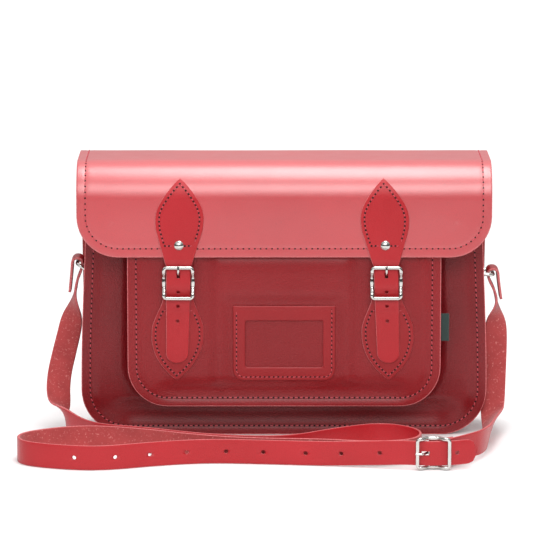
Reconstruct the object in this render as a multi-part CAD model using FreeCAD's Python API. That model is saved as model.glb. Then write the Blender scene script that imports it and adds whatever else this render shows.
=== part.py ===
import FreeCAD, Part
import math
import os

# School satchel with a buckled flap, a front pocket and a shoulder strap.
# Millimetres. X is to the wearer's right as seen from the front, +Y is the back, +Z is up.
# The origin is under the middle of the bag, on the surface that it stands on.

V = FreeCAD.Vector

# Driving dimensions
BAG_HEIGHT = 232.0
LEATHER = 2.2
BACK_FACE_Y = 49.0
BODY_HALF_TOP = 163.0
BODY_HALF_LOW = 168.5
BODY_LOW_Z = 60.0
BODY_TOP_Z = 222.0
BODY_CORNER = 38.0
BODY_DEPTH = 56.0
BACK_HALF_TOP = 170.0

GUSSET_WALL = 2.0
GUSSET_HALF = 156.0
GUSSET_BASE_Z = 9.5
GUSSET_CORNER = 30.0

POCKET_HALF = 129.0
POCKET_BASE_Z = 29.3
POCKET_TOP_Z = 168.0
POCKET_CORNER = 33.0
POCKET_DEPTH = 24.0
POCKET_WALL = 2.0
POCKET_INSET = 9.5

FLAP_HALF = 170.0
FLAP_EDGE_Z = 155.0
FLAP_CORNER = 34.0
BACK_BEND = 10.0
FRONT_BEND = 28.0
FLAP_SPACE = 3.6

STRAP_X = (-86.8, 83.8)
STRAP_LEAN = (0.020, -0.032)
STRAP_THICK = 1.8
STRAP_HALF = 10.0
LEAF_HALF = 20.0
LEAF_TIP_Z = 220.0
BILLET_TIP_Z = 66.5
CHAPE_THICK = 1.5
CHAPE_HALF = 9.5
CHAPE_LEAF_HALF = 21.5
CHAPE_TIP_Z = 51.5

BAR_Z = 134.2
BAR_R = 1.3
FRAME_HALF_W = 13.25
FRAME_HALF_H = 14.2
FRAME_BAR = 2.9
FRAME_THICK = 2.6
WINDOW_HALF_W = 10.5
TONGUE_R = 0.8
RIVET_Z = 165.2

RING_Z = 133.0
RING_R = 1.5
RING_REACH = 15.0
RING_HALF_W = 12.0
RING_ANGLE = {"left": 32.0, "right": -5.0}
RING_RIVETS = (152.0, 172.0)

CARD_HALF_W = 42.0
CARD_LOW_Z = 51.5
CARD_TOP_Z = 113.8
CARD_WALL = 1.6
WINDOW_HALF = 32.0
WINDOW_LOW_Z = 62.3
WINDOW_TOP_Z = 101.5

CARRY_WIDTH = 20.0
CARRY_THICK = 2.2
CARRY_BAR = (119.0, -138.0, 13.4)
CARRY_FAR = -6.5
HOLE_R = 1.8
HOLE_PITCH = 31.0

STITCH_INSET = 7.3
THREAD_W = 0.8
THREAD_H = 0.4

# Planes, from the back of the bag to the front
BACK_IN = BACK_FACE_Y - LEATHER
FRONT_BACK_Y = BACK_IN - BODY_DEPTH
FRONT_Y = FRONT_BACK_Y - LEATHER
POCKET_BACK_Y = FRONT_Y - POCKET_DEPTH
POCKET_Y = POCKET_BACK_Y - POCKET_WALL
FLAP_IN_Y = POCKET_Y - FLAP_SPACE
FLAP_Y = FLAP_IN_Y - LEATHER
BAR_Y = POCKET_Y - CHAPE_THICK - BAR_R - 0.1
RING_Y = (BACK_IN + FRONT_BACK_Y) / 2
RING_X = GUSSET_HALF + 1.8 + RING_R + 0.08


def rounded(points, radii=None):
    """Straight runs joined by tangent arcs: a list of ("line", p, q) and ("arc", p, mid, q, centre)."""
    pts = [V(p[0], p[1], 0) for p in points]
    radii = radii or {}
    pieces = []
    here = pts[0]
    for i in range(1, len(pts) - 1):
        before = pts[i] - pts[i - 1]
        after = pts[i + 1] - pts[i]
        a = V(before).normalize()
        b = V(after).normalize()
        turn = math.acos(max(-1.0, min(1.0, a.dot(b))))
        if turn < 1e-4:
            continue
        radius = radii.get(i, 0.45 * min(before.Length, after.Length) / math.tan(turn / 2))
        cut = radius * math.tan(turn / 2)
        start = pts[i] - a * cut
        end = pts[i] + b * cut
        side = 1.0 if a.cross(b).z > 0 else -1.0
        centre = start + V(-a.y, a.x, 0) * (side * radius)
        middle = centre + ((start + end) * 0.5 - centre).normalize() * radius
        if (start - here).Length > 1e-5:
            pieces.append(("line", here, start))
        pieces.append(("arc", start, middle, end, centre))
        here = end
    if (pts[-1] - here).Length > 1e-5:
        pieces.append(("line", here, pts[-1]))
    return pieces


def shifted(piece, offset):
    """The same piece of path moved sideways, to its left for a positive offset."""
    if piece[0] == "line":
        along = (piece[2] - piece[1]).normalize()
        left = V(-along.y, along.x, 0) * offset
        return ("line", piece[1] + left, piece[2] + left)
    start, middle, end, centre = piece[1:]
    turn = (middle - start).cross(end - middle).z
    radius = (start - centre).Length - (offset if turn > 0 else -offset)
    moved = [centre + (p - centre).normalize() * radius for p in (start, middle, end)]
    return ("arc", *moved, centre)


def edge_of(piece, place):
    if piece[0] == "line":
        return Part.makeLine(place(piece[1]), place(piece[2]))
    return Part.Arc(place(piece[1]), place(piece[2]), place(piece[3])).toShape()


PLANES = {
    "yz": lambda at: (lambda p: V(at, p.x, p.y)),
    "xz": lambda at: (lambda p: V(p.x, at, p.y)),
    "xy": lambda at: (lambda p: V(p.x, p.y, at)),
}
NORMALS = {"yz": V(1, 0, 0), "xz": V(0, 1, 0), "xy": V(0, 0, 1)}


def strip(points, thick, plane, low, high, radii=None):
    """A band of leather: its bent profile drawn in a plane and given its width across that plane."""
    pieces = rounded(points, radii)
    left = [shifted(p, thick / 2) for p in pieces]
    right = [shifted(p, -thick / 2) for p in pieces]
    place = PLANES[plane](low)
    edges = [edge_of(p, place) for p in left + right]
    first = 1
    last = 3 if left[-1][0] == "arc" else 2
    edges.append(Part.makeLine(place(left[0][first]), place(right[0][first])))
    edges.append(Part.makeLine(place(left[-1][last]), place(right[-1][last])))
    wire = Part.Wire(Part.__sortEdges__(edges))
    return Part.Face(wire).extrude(NORMALS[plane] * (high - low))


def outline(points, radii, y):
    """A closed face in the plane of the panels, with its corners rounded."""
    count = len(points)
    start = ((points[0][0] + points[-1][0]) / 2, (points[0][1] + points[-1][1]) / 2)
    path = [start] + list(points) + [start]
    pieces = rounded(path, {i + 1: radii[i] for i in range(count)})
    place = PLANES["xz"](y)
    return Part.Face(Part.Wire(Part.__sortEdges__([edge_of(p, place) for p in pieces])))


def body_points(top_half, top_z):
    return [
        (top_half, top_z),
        (BODY_HALF_LOW, BODY_LOW_Z),
        (BODY_HALF_LOW, 0),
        (-BODY_HALF_LOW, 0),
        (-BODY_HALF_LOW, BODY_LOW_Z),
        (-top_half, top_z),
    ]


def body_face(y, top_half=BODY_HALF_TOP, top_z=BODY_TOP_Z):
    return outline(body_points(top_half, top_z), [0.1, 200, BODY_CORNER, BODY_CORNER, 200, 0.1], y)


def pocket_face(y, inset=0.0, top_z=POCKET_TOP_Z):
    half = POCKET_HALF - inset
    base = POCKET_BASE_Z + inset
    corner = POCKET_CORNER - inset
    points = [(half, top_z), (half, base), (-half, base), (-half, top_z)]
    return outline(points, [0.1, corner, corner, 0.1], y)


def web_face(y, inset=0.0, top_z=BODY_TOP_Z):
    half = GUSSET_HALF - inset
    base = GUSSET_BASE_Z + inset
    corner = GUSSET_CORNER - inset
    points = [(half, top_z), (half, base), (-half, base), (-half, top_z)]
    return outline(points, [0.1, corner, corner, 0.1], y)


def thick_face(face, depth):
    return face.extrude(V(0, depth, 0))


def box(x0, x1, y0, y1, z0, z1):
    return Part.makeBox(x1 - x0, y1 - y0, z1 - z0, V(x0, y0, z0))


def rod(start, end, radius):
    along = V(*end) - V(*start)
    return Part.makeCylinder(radius, along.Length, V(*start), along)


def joined(shapes):
    shape = shapes[0]
    if len(shapes) > 1:
        shape = shapes[0].fuse(shapes[1:])
    return shape.removeSplitter()


# Body panels

def back_panel():
    bend_z = BAG_HEIGHT - LEATHER / 2
    reach = BACK_BEND * math.tan(math.radians(43.5 / 2))
    mid_y = BACK_FACE_Y - LEATHER / 2
    corner = (mid_y, bend_z - BACK_BEND + reach)
    angle = math.radians(43.5)
    end = (corner[0] - reach * math.sin(angle), corner[1] + reach * math.cos(angle))
    sheet = strip([(mid_y, 0), corner, end], LEATHER, "yz", -BACK_HALF_TOP, BACK_HALF_TOP, {1: BACK_BEND})
    shape = thick_face(body_face(BACK_FACE_Y - 30, BACK_HALF_TOP, BAG_HEIGHT + 10), 40)
    return sheet.common(shape)


def flap_top():
    mid_z = BAG_HEIGHT - LEATHER / 2
    back_centre = BACK_FACE_Y - LEATHER / 2 - BACK_BEND
    front_centre = FLAP_Y + LEATHER / 2 + FRONT_BEND
    angle = math.radians(43.5)
    back_reach = BACK_BEND * math.tan(angle / 2)
    front_reach = FRONT_BEND * math.tan(angle / 2)
    back_corner = (back_centre + back_reach, mid_z)
    front_corner = (front_centre - front_reach, mid_z)
    start = (back_corner[0] + back_reach * math.cos(angle), mid_z - back_reach * math.sin(angle))
    end = (front_corner[0] - front_reach * math.cos(angle), mid_z - front_reach * math.sin(angle))
    return strip(
        [start, back_corner, front_corner, end],
        LEATHER, "yz", -FLAP_HALF, FLAP_HALF, {1: BACK_BEND, 2: FRONT_BEND},
    )


def front_bend_centre():
    return FLAP_Y + LEATHER / 2 + FRONT_BEND, BAG_HEIGHT - LEATHER / 2 - FRONT_BEND


def hung_profile(out, low_points, angle_deg):
    """Profile points of leather that hangs from the front bend, its middle out beyond the flap's own."""
    centre_y, centre_z = front_bend_centre()
    radius = FRONT_BEND + out
    angle = math.radians(angle_deg)
    reach = radius * math.tan(angle / 2)
    corner = (centre_y - radius, centre_z + reach)
    start = (corner[0] + reach * math.sin(angle), corner[1] + reach * math.cos(angle))
    return [start, corner] + low_points, radius


def flap_front():
    points, radius = hung_profile(0, [(FLAP_Y + LEATHER / 2, FLAP_EDGE_Z)], 43.5)
    sheet = strip(points, LEATHER, "yz", -FLAP_HALF, FLAP_HALF, {1: radius})
    shape = outline(
        [(FLAP_HALF, 260), (FLAP_HALF, FLAP_EDGE_Z), (-FLAP_HALF, FLAP_EDGE_Z), (-FLAP_HALF, 260)],
        [0.1, FLAP_CORNER, FLAP_CORNER, 0.1],
        FLAP_Y - 10,
    )
    holes = []
    for x, lean in zip(STRAP_X, STRAP_LEAN):
        rivet_x = leaned(x, lean, RIVET_Z)
        holes.append(rod((rivet_x, FLAP_Y - 2, RIVET_Z), (rivet_x, FLAP_IN_Y + 2, RIVET_Z), 1.5))
    return sheet.common(thick_face(shape, 60)).cut(holes)


def main_gusset():
    web = thick_face(web_face(FRONT_BACK_Y), BODY_DEPTH)
    hollow = thick_face(web_face(FRONT_BACK_Y - 1, GUSSET_WALL, BODY_TOP_Z + 20), BODY_DEPTH + 2)
    rims = []
    for y in (FRONT_BACK_Y, BACK_IN - GUSSET_WALL):
        rims.append(thick_face(body_face(y), GUSSET_WALL))
    tools = [hollow]
    for side in (-1, 1):
        for z in RING_RIVETS:
            tools.append(rod((side * 150, RING_Y, z), (side * 160, RING_Y, z), 1.45))
    return joined([web] + rims).cut(tools)


def pocket_gusset():
    front = FRONT_Y - POCKET_DEPTH
    web = thick_face(pocket_face(front, POCKET_INSET), POCKET_DEPTH)
    inside = pocket_face(front - 1, POCKET_INSET + GUSSET_WALL, POCKET_TOP_Z + 20)
    hollow = thick_face(inside, POCKET_DEPTH + 2)
    rims = []
    for y in (front, FRONT_Y - GUSSET_WALL):
        rims.append(thick_face(pocket_face(y), GUSSET_WALL))
    return joined([web] + rims).cut([hollow, side_label(0.02)])


# Closure straps, chapes and buckles

def leaned(x, lean, z):
    """Where the middle of a strap that hangs a little off upright is at height z."""
    return x + lean * (z - BAR_Z)


def leaf_shape(x, lean, tip_z, wide_z, wide_half, neck_z, neck_half, end_z, end_half, y, depth):
    """Pointed leaf that narrows to a strap; z may run up or down from the neck to the tip."""
    def point(offset, z):
        return V(leaned(x, lean, z) + offset, y, z)

    span = tip_z - wide_z
    low = wide_z - neck_z
    edges = []
    for side in (-1, 1):
        shoulder = point(side * wide_half * 0.74, wide_z + span * 0.56)
        wide = point(side * wide_half, wide_z)
        waist = point(side * (neck_half + (wide_half - neck_half) * 0.62), wide_z - low * 0.56)
        neck = point(side * neck_half, neck_z)
        edges.append(Part.Arc(point(0, tip_z), shoulder, wide).toShape())
        edges.append(Part.Arc(wide, waist, neck).toShape())
        edges.append(Part.makeLine(neck, point(side * end_half, end_z)))
    edges.append(Part.makeLine(point(-end_half, end_z), point(end_half, end_z)))
    face = Part.Face(Part.Wire(Part.__sortEdges__(edges)))
    return face.extrude(V(0, depth, 0))


def closure_strap(x, lean):
    half = STRAP_THICK / 2
    leaf_y = FLAP_Y - half
    over_bar = BAR_Y - BAR_R - 0.1 - CHAPE_THICK - half - 0.3
    behind = BAR_Y - 3.3
    on_leaf = POCKET_Y - 2 * CHAPE_THICK - half - 0.2
    low = [
        (leaf_y, BAR_Z + 18.5),
        (behind, BAR_Z + 15.5),
        (behind, BAR_Z + 10.5),
        (over_bar, BAR_Z + 4),
        (over_bar, BAR_Z - 4.2),
        (on_leaf, BAR_Z - 11),
        (on_leaf, BAR_Z - 18.8),
        (on_leaf + CHAPE_THICK, BAR_Z - 24.5),
        (on_leaf + CHAPE_THICK, BILLET_TIP_Z),
    ]
    points, radius = hung_profile(LEATHER / 2 + half, low, 38)
    sheet = strip(points, STRAP_THICK, "yz", x - 30, x + 30, {1: radius})
    leaf = leaf_shape(
        x, lean, LEAF_TIP_Z, 187, LEAF_HALF, 154, 12.3, BAR_Z + 12, STRAP_HALF, FLAP_Y - 20, 60,
    )
    high_x = leaned(x, lean, BAR_Z + 14)
    tip_x = leaned(x, lean, BILLET_TIP_Z)
    corners = [
        (high_x + STRAP_HALF, BAR_Z + 14), (tip_x + 9.2, BILLET_TIP_Z),
        (tip_x - 9.2, BILLET_TIP_Z), (high_x - STRAP_HALF, BAR_Z + 14),
    ]
    billet = outline(corners, [0.1, 9.0, 9.0, 0.1], FLAP_Y - 20)
    shape = sheet.common(leaf.fuse(thick_face(billet, 60)))
    tools = []
    for z in (126.5, 114.5, 102.0):
        hole_x = leaned(x, lean, z)
        tools.append(rod((hole_x, FLAP_Y - 20, z), (hole_x, POCKET_Y - 0.5, z), HOLE_R - 0.2))
    tools.append(box(x - 1.7, x + 1.7, FLAP_Y - 20, FLAP_Y + 10, BAR_Z + 3.4, BAR_Z + 8.9))
    rivet_x = leaned(x, lean, RIVET_Z)
    tools.append(rod((rivet_x, FLAP_Y - 5, RIVET_Z), (rivet_x, FLAP_Y + 1, RIVET_Z), 1.5))
    return shape.cut(tools)


def closure_rivet(x):
    face_y = FLAP_Y - STRAP_THICK
    dome = Part.makeSphere(5.2, V(x, face_y + 3.3, RIVET_Z))
    dome = dome.common(box(x - 5, x + 5, face_y - 2.5, face_y, RIVET_Z - 5, RIVET_Z + 5))
    post = rod((x, face_y - 0.5, RIVET_Z), (x, FLAP_IN_Y + 0.5, RIVET_Z), 1.45)
    inner = rod((x, FLAP_IN_Y, RIVET_Z), (x, FLAP_IN_Y + 1.1, RIVET_Z), 3.6)
    return joined([dome, post, inner])


def buckle_chape(x, lean):
    half = CHAPE_THICK / 2
    flat = POCKET_Y - half
    lifted = flat - CHAPE_THICK - 0.03
    front = BAR_Y - BAR_R - 0.1 - half
    crown = BAR_Z + BAR_R + 0.1 + half
    points = [
        (flat, 50),
        (flat, BAR_Z - 22.5),
        (lifted, BAR_Z - 18.5),
        (lifted, BAR_Z - 10.5),
        (front, BAR_Z - 4.5),
        (front, crown),
        (flat, crown),
        (flat, BAR_Z - 15),
    ]
    sheet = strip(points, CHAPE_THICK, "yz", x - 25, x + 25)
    shape = leaf_shape(
        x, lean, CHAPE_TIP_Z, 92, CHAPE_LEAF_HALF, 119.5, 12.5, BAR_Z + 12, CHAPE_HALF, POCKET_Y - 20, 30,
    )
    neck = box(x - CHAPE_HALF, x + CHAPE_HALF, POCKET_Y - 20, POCKET_Y + 5, BAR_Z - 14, BAR_Z + 12)
    cheeks = []
    for side in (-1, 1):
        low, high = sorted((x + side * CHAPE_HALF, x + side * 30))
        cheeks.append(box(low, high, POCKET_Y - 25, POCKET_Y + 10, BAR_Z - 13.8, BAR_Z + 20))
    leather = sheet.common(shape.fuse(neck)).cut(cheeks)
    slot = box(x - 2.2, x + 2.2, POCKET_Y - 12, POCKET_Y + 1, BAR_Z - 5.5, BAR_Z + 8)
    return leather.cut(slot)


def buckle_frame(far=-5.8):
    """Centre-bar buckle, built about its bar: x along the bar, z along the strap, -y to the front."""
    near = -2.1
    points = [(far, FRAME_HALF_H), (far, 9.5), (near, 4), (near, -4), (far, -9.5), (far, -FRAME_HALF_H)]
    arch = strip(points, FRAME_THICK, "yz", -FRAME_HALF_W, FRAME_HALF_W)
    w, h = FRAME_HALF_W, FRAME_HALF_H
    silhouette = outline([(w, h), (w, -h), (-w, -h), (-w, h)], [3, 3, 3, 3], -12)
    body = arch.common(thick_face(silhouette, 20))
    gap = FRAME_HALF_H - FRAME_BAR
    body = body.cut(box(-WINDOW_HALF_W, WINDOW_HALF_W, -12, 8, -gap, gap))
    bar = rod((-WINDOW_HALF_W - 1, 0, 0), (WINDOW_HALF_W + 1, 0, 0), BAR_R)
    lugs = [box(x, x + 2.35, -2.4, 1.2, -1.6, 1.6) for x in (WINDOW_HALF_W + 0.1, -WINDOW_HALF_W - 2.45)]
    return joined([body, bar] + lugs)


def buckle_tongue(far=-5.8):
    """Tongue about the same bar, resting on the frame's end bar."""
    rest_y = far - FRAME_THICK / 2 - TONGUE_R - 0.05
    loop = rod((-0.95, 0, 0), (0.95, 0, 0), BAR_R + 1.15)
    points = [V(0, -1.9, 1.2), V(0, -2.1, 4.2), V(0, rest_y, 10.0), V(0, rest_y, 14.4)]
    solids = [loop]
    for a, b in zip(points, points[1:]):
        solids.append(Part.makeCylinder(TONGUE_R, (b - a).Length, a, b - a))
        solids.append(Part.makeSphere(TONGUE_R, b))
    eye = rod((-5, 0, 0), (5, 0, 0), BAR_R + 0.06)
    return joined(solids).cut(eye)


def placed(shape, x, z=BAR_Z, y=BAR_Y, turn=0.0):
    moved = shape.copy()
    moved.rotate(V(0, 0, 0), V(0, 1, 0), turn)
    moved.translate(V(x, y, z))
    return moved


# Ring fittings at the ends of the bag

def mirrored(shape, side):
    return shape if side > 0 else shape.mirror(V(0, 0, 0), V(1, 0, 0))


def ring_chape(side):
    half = 0.9
    inner = GUSSET_HALF + half
    outer = RING_X + RING_R + 0.08 + half
    base = RING_Z - RING_R - 0.08 - half
    points = [
        (inner, 182), (inner, base), (outer, base),
        (outer, 135), (inner + 1.82, 143), (inner + 1.82, 182),
    ]
    leather = strip(points, 1.8, "xz", RING_Y - 9.5, RING_Y + 9.5)
    holes = [rod((150, RING_Y, z), (170, RING_Y, z), 1.45) for z in RING_RIVETS]
    return mirrored(leather.cut(holes), side)


def ring_rivet(side, z):
    outer = GUSSET_HALF + 3.64
    dome = Part.makeSphere(4.6, V(outer - 2.9, RING_Y, z))
    dome = dome.common(box(outer, outer + 3, RING_Y - 5, RING_Y + 5, z - 5, z + 5))
    post = rod((GUSSET_HALF - GUSSET_WALL - 0.6, RING_Y, z), (outer + 0.5, RING_Y, z), 1.4)
    inner = rod((GUSSET_HALF - GUSSET_WALL - 1.0, RING_Y, z), (GUSSET_HALF - GUSSET_WALL, RING_Y, z), 3.2)
    return mirrored(joined([dome, post, inner]), side)


def d_ring(name, side):
    w = RING_HALF_W
    r = RING_REACH
    corners = [(0, w), (r, w), (r, -w), (0, -w)]
    path = rounded([(0, 0)] + corners + [(0, 0)], {1: 2.4, 2: 4.0, 3: 4.0, 4: 2.4})
    place = PLANES["xy"](0)
    wire = Part.Wire(Part.__sortEdges__([edge_of(p, place) for p in path]))
    start = wire.Edges[0]
    at = start.valueAt(start.FirstParameter)
    along = start.tangentAt(start.FirstParameter)
    profile = Part.Wire(Part.makeCircle(RING_R, at, along))
    ring = wire.makePipeShell([profile], True, False)
    if ring.Volume < 0:
        ring.reverse()
    ring.rotate(V(0, 0, 0), V(0, 1, 0), -RING_ANGLE[name])
    ring.translate(V(RING_X, RING_Y, RING_Z))
    return mirrored(ring, side)


# Name card holder, label and threads

def card_holder():
    w = CARD_HALF_W
    corners = [(w, CARD_TOP_Z), (w, CARD_LOW_Z), (-w, CARD_LOW_Z), (-w, CARD_TOP_Z)]
    plate = thick_face(outline(corners, [0.5, 8, 8, 0.5], POCKET_Y - CARD_WALL), CARD_WALL)
    w = WINDOW_HALF
    corners = [(w, WINDOW_TOP_Z), (w, WINDOW_LOW_Z), (-w, WINDOW_LOW_Z), (-w, WINDOW_TOP_Z)]
    return plate.cut(thick_face(outline(corners, [1.5] * 4, POCKET_Y - 5), 10))


def seam(face_maker, surface_y, top_z):
    """A thread laid on a surface, following an outline, open above top_z."""
    outer = thick_face(face_maker(surface_y - THREAD_H, 0.0), THREAD_H)
    inner = thick_face(face_maker(surface_y - 1, THREAD_W), 2)
    above = box(-300, 300, surface_y - 5, surface_y + 5, top_z, 400)
    return outer.cut([inner, above])


def inset_body(y, extra):
    inset = STITCH_INSET + extra
    low = BODY_HALF_LOW - inset
    top = BODY_HALF_TOP - inset
    corner = BODY_CORNER - inset
    points = [(top, 260), (low, BODY_LOW_Z), (low, inset), (-low, inset), (-low, BODY_LOW_Z), (-top, 260)]
    return outline(points, [0.1, 150, corner, corner, 150, 0.1], y)


def inset_pocket(y, extra):
    return pocket_face(y, STITCH_INSET + extra, 260)


def inset_flap(y, extra):
    inset = STITCH_INSET + extra
    half = FLAP_HALF - inset
    base = FLAP_EDGE_Z + inset
    points = [(half, 260), (half, base), (-half, base), (-half, 260)]
    return outline(points, [0.1, FLAP_CORNER - inset, FLAP_CORNER - inset, 0.1], y)


def inset_card(y, extra):
    w = CARD_HALF_W - 2.8 - extra
    base = CARD_LOW_Z + 2.8 + extra
    return outline([(w, 260), (w, base), (-w, base), (-w, 260)], [0.1, 5.5 - extra, 5.5 - extra, 0.1], y)


def flap_seam():
    threads = seam(inset_flap, FLAP_Y, 200)
    gaps = [box(x - 17, x + 17, FLAP_Y - 3, FLAP_Y + 3, 150, 175) for x in STRAP_X]
    return threads.cut(gaps)


# Shoulder strap

def ring_tip(name, side):
    angle = math.radians(RING_ANGLE[name])
    return side * (RING_X + RING_REACH * math.cos(angle)), RING_Z + RING_REACH * math.sin(angle)


def strap_fold(name, side, points):
    """Strap end folded over a ring; points are drawn for the right-hand side of the ring's wire."""
    tip_x, tip_z = ring_tip(name, 1)
    path = [(tip_x + x, tip_z + z) for x, z in points]
    fold = strip(path, CARRY_THICK, "xz", RING_Y - CARRY_WIDTH / 2, RING_Y + CARRY_WIDTH / 2)
    return mirrored(fold, side), V(side * path[-1][0], RING_Y, path[-1][1])


def smooth(points, count):
    """Points of a curve through the given ones, evenly shared between them."""
    padded = [points[0] * 2 - points[1]] + points + [points[-1] * 2 - points[-2]]
    out = []
    for i in range(1, len(padded) - 2):
        a, b, c, d = padded[i - 1 : i + 3]
        for k in range(count):
            t = k / count
            slope = (c - a) * t
            bend = (a * 2 - b * 5 + c * 4 - d) * t ** 2
            twist = (b * 3 - a - c * 3 + d) * t ** 3
            out.append((b * 2 + slope + bend + twist) * 0.5)
    out.append(points[-1])
    return out


def ribbon(centres, edges, start_dir, end_dir, count):
    """A twisting band: ruled between rectangles whose width points towards one edge of the strap."""
    line = smooth(centres, count)
    wide = smooth(edges, count)
    sections = []
    for i, centre in enumerate(line):
        along = line[min(i + 1, len(line) - 1)] - line[max(i - 1, 0)]
        if i == 0:
            along = V(start_dir)
        if i == len(line) - 1:
            along = V(end_dir)
        along.normalize()
        across = wide[i] - along * wide[i].dot(along)
        across.normalize()
        normal = along.cross(across)
        w = across * (CARRY_WIDTH / 2)
        n = normal * (CARRY_THICK / 2)
        corners = [centre + w + n, centre + w - n, centre - w - n, centre - w + n]
        sections.append(Part.makePolygon(corners + [corners[0]]))
    return Part.makeLoft(sections, True, True)


def point_on(pieces, back):
    """Point and direction on a path of straight runs and arcs, measured back from its end."""
    for p in reversed(pieces):
        edge = edge_of(p, PLANES["xy"](0))
        if back > edge.Length:
            back -= edge.Length
            continue
        forward = (edge.valueAt(edge.FirstParameter) - p[1]).Length < 1e-6
        at = edge.getParameterByLength(edge.Length - back if forward else back)
        along = edge.tangentAt(at)
        return edge.valueAt(at), along if forward else along * -1
    return None, None


LEFT_FOLD = [(6.6, -24.5), (4.6, -6), (4.1, 4.3), (-4.1, 4.3), (-4.1, -4), (0.8, -15.5), (2.6, -29)]
RIGHT_FOLD = [(7.0, -21), (4.6, -5), (4.1, 4.3), (-4.1, 4.3), (-4.1, -3.5), (2.0, -14.5), (3.9, -26)]

FLOOR_Z = CARRY_WIDTH / 2
LEFT_RISER = [(-178, 16, 88), (-183, 9, 68), (-188, 0, 47), (-188, -10, 29), (-180, -24, 15)]
LEFT_EDGES = [(-1, 0.25, 0), (-1, 0, 0), (-1, 0, 0.1), (-0.75, 0.1, 0.6), (-0.25, 0.1, 1)]
LONG_RUN = [
    (-168, -40), (-151, -62), (-116, -72.5), (-62, -100.5), (-20, -107.5), (10, -103), (42, -76),
    (82, -54), (113, -82), (107, -119), (70, -127.5), (30, -117), (-20, -114.8), (-62, -105.5),
    (-118, -77.5), (-158, -66), (-190, -76), (-216, -96), (-214, -124), (-186, -139), (-148, -147),
    (-100, -127), (-60, -118), (-18, -122.2), (34, -128.5),
]
LIFT = [(34, -128.5), (66, -133.8), (96, -139.3)]
WEAVE = [
    (96, -139.3), (103, -141.2), (109.5, -141.8), (114.5, -142.8), (123.5, -142.8),
    (128.5, -141.8), (136, -141.0), (158, -131),
]
RIGHT_RISER = [
    (177.5, 16, 88), (176.5, 10, 66), (175.5, 5, 45), (174.5, -2, 27), (173, -14, 15.5), (170.5, -40, 12),
    (168, -70, 12.6),
]
RIGHT_EDGES = [
    (0.9, 0.4, 0), (1, 0, 0), (1, 0, 0), (1, 0, 0.15), (0.8, -0.1, 0.6), (0.45, 0, 0.9), (0.2, 0, 1),
]
SHORT_RUN = [
    (161, -99), (150, -113), (137, -127.5), (127.5, -138), (123.8, -140.55), (116.45, -140.55),
    (116.45, -135.45), (122.3, -135.45), (135.2, -125.9),
]


def direction(a, b):
    return V(b[0] - a[0], b[1] - a[1], 0)


def fold_direction(points):
    return V(points[-1][0] - points[-2][0], 0, points[-1][1] - points[-2][1])


def long_strap():
    level = CARRY_BAR[2]
    fold, top = strap_fold("left", -1, LEFT_FOLD)
    down = fold_direction(LEFT_FOLD)
    down.x = -down.x
    foot = V(LONG_RUN[0][0], LONG_RUN[0][1], FLOOR_Z)
    centres = [top] + [V(*p) for p in LEFT_RISER] + [foot]
    edges = [V(0, 1, 0)] + [V(*e) for e in LEFT_EDGES] + [V(0, 0, 1)]
    riser = ribbon(centres, edges, down, direction(LONG_RUN[0], LONG_RUN[1]), 4)
    floor = strip(LONG_RUN, CARRY_THICK, "xy", 0, CARRY_WIDTH)
    lift = ribbon(
        [V(*LIFT[0], FLOOR_Z), V(*LIFT[1], FLOOR_Z + 1.7), V(*LIFT[2], level)],
        [V(0, 0, 1)] * 3,
        direction(LONG_RUN[-2], LONG_RUN[-1]), direction(WEAVE[0], WEAVE[1]), 3,
    )
    end = strip(WEAVE, CARRY_THICK, "xy", level - FLOOR_Z, level + FLOOR_Z)
    end = end.common(tip_shape(level))
    punches = []
    path = rounded(LONG_RUN)
    for k in range(7):
        at, along = point_on(path, 19.7 + k * HOLE_PITCH)
        across = V(-along.y, along.x, 0) * 4
        middle = at + V(0, 0, FLOOR_Z)
        punches.append(rod(tuple(middle + across), tuple(middle - across), HOLE_R))
    for x, y, z in ((46.3, -130.5, 10.7), (78, -136, 12.4), (136.5, -140.5, level)):
        punches.append(rod((x, y - 5, z), (x, y + 5, z), HOLE_R))
    x, y, z = CARRY_BAR
    punches.append(box(x - 9.4, x - 3.0, y - 8, y - 2, z - 1.7, z + 1.7))
    return joined([fold, riser, floor, lift, end]).cut(punches)


def short_strap():
    level = CARRY_BAR[2]
    fold, top = strap_fold("right", 1, RIGHT_FOLD)
    foot = V(SHORT_RUN[0][0], SHORT_RUN[0][1], level)
    centres = [top] + [V(*p) for p in RIGHT_RISER] + [foot]
    edges = [V(0, 1, 0)] + [V(*e) for e in RIGHT_EDGES] + [V(0, 0, 1)]
    riser = ribbon(centres, edges, fold_direction(RIGHT_FOLD), direction(SHORT_RUN[0], SHORT_RUN[1]), 4)
    run = strip(SHORT_RUN, CARRY_THICK, "xy", level - FLOOR_Z, level + FLOOR_Z)
    x, y, z = CARRY_BAR
    slot = box(x - 6, x + 5.5, y - 6, y + 6, z - 2.2, z + 2.2)
    return joined([fold, riser, run]).cut(slot)


def tip_shape(level):
    half = CARRY_WIDTH / 2 + 1
    points = [(80, level + half), (80, level - half), (154.5, level - 9.6), (154.5, level + 9.6)]
    return thick_face(outline(points, [0.1, 0.1, 9.0, 9.0], -200), 120)


def side_label(room=0.0):
    """Small folded tag, caught in the pocket's side seam; room is the gap that the seam leaves round it."""
    low_y = POCKET_BACK_Y + 0.05
    return box(
        POCKET_HALF - 6 - room, POCKET_HALF + 6.9, low_y - room, low_y + 0.5 + room, 84 - room, 107 + room,
    )


def save(name, shape):
    solids = shape.Solids
    shape = solids[0] if len(solids) == 1 else Part.makeCompound(solids)
    shape.exportStep("parts/" + name + ".step")


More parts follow.
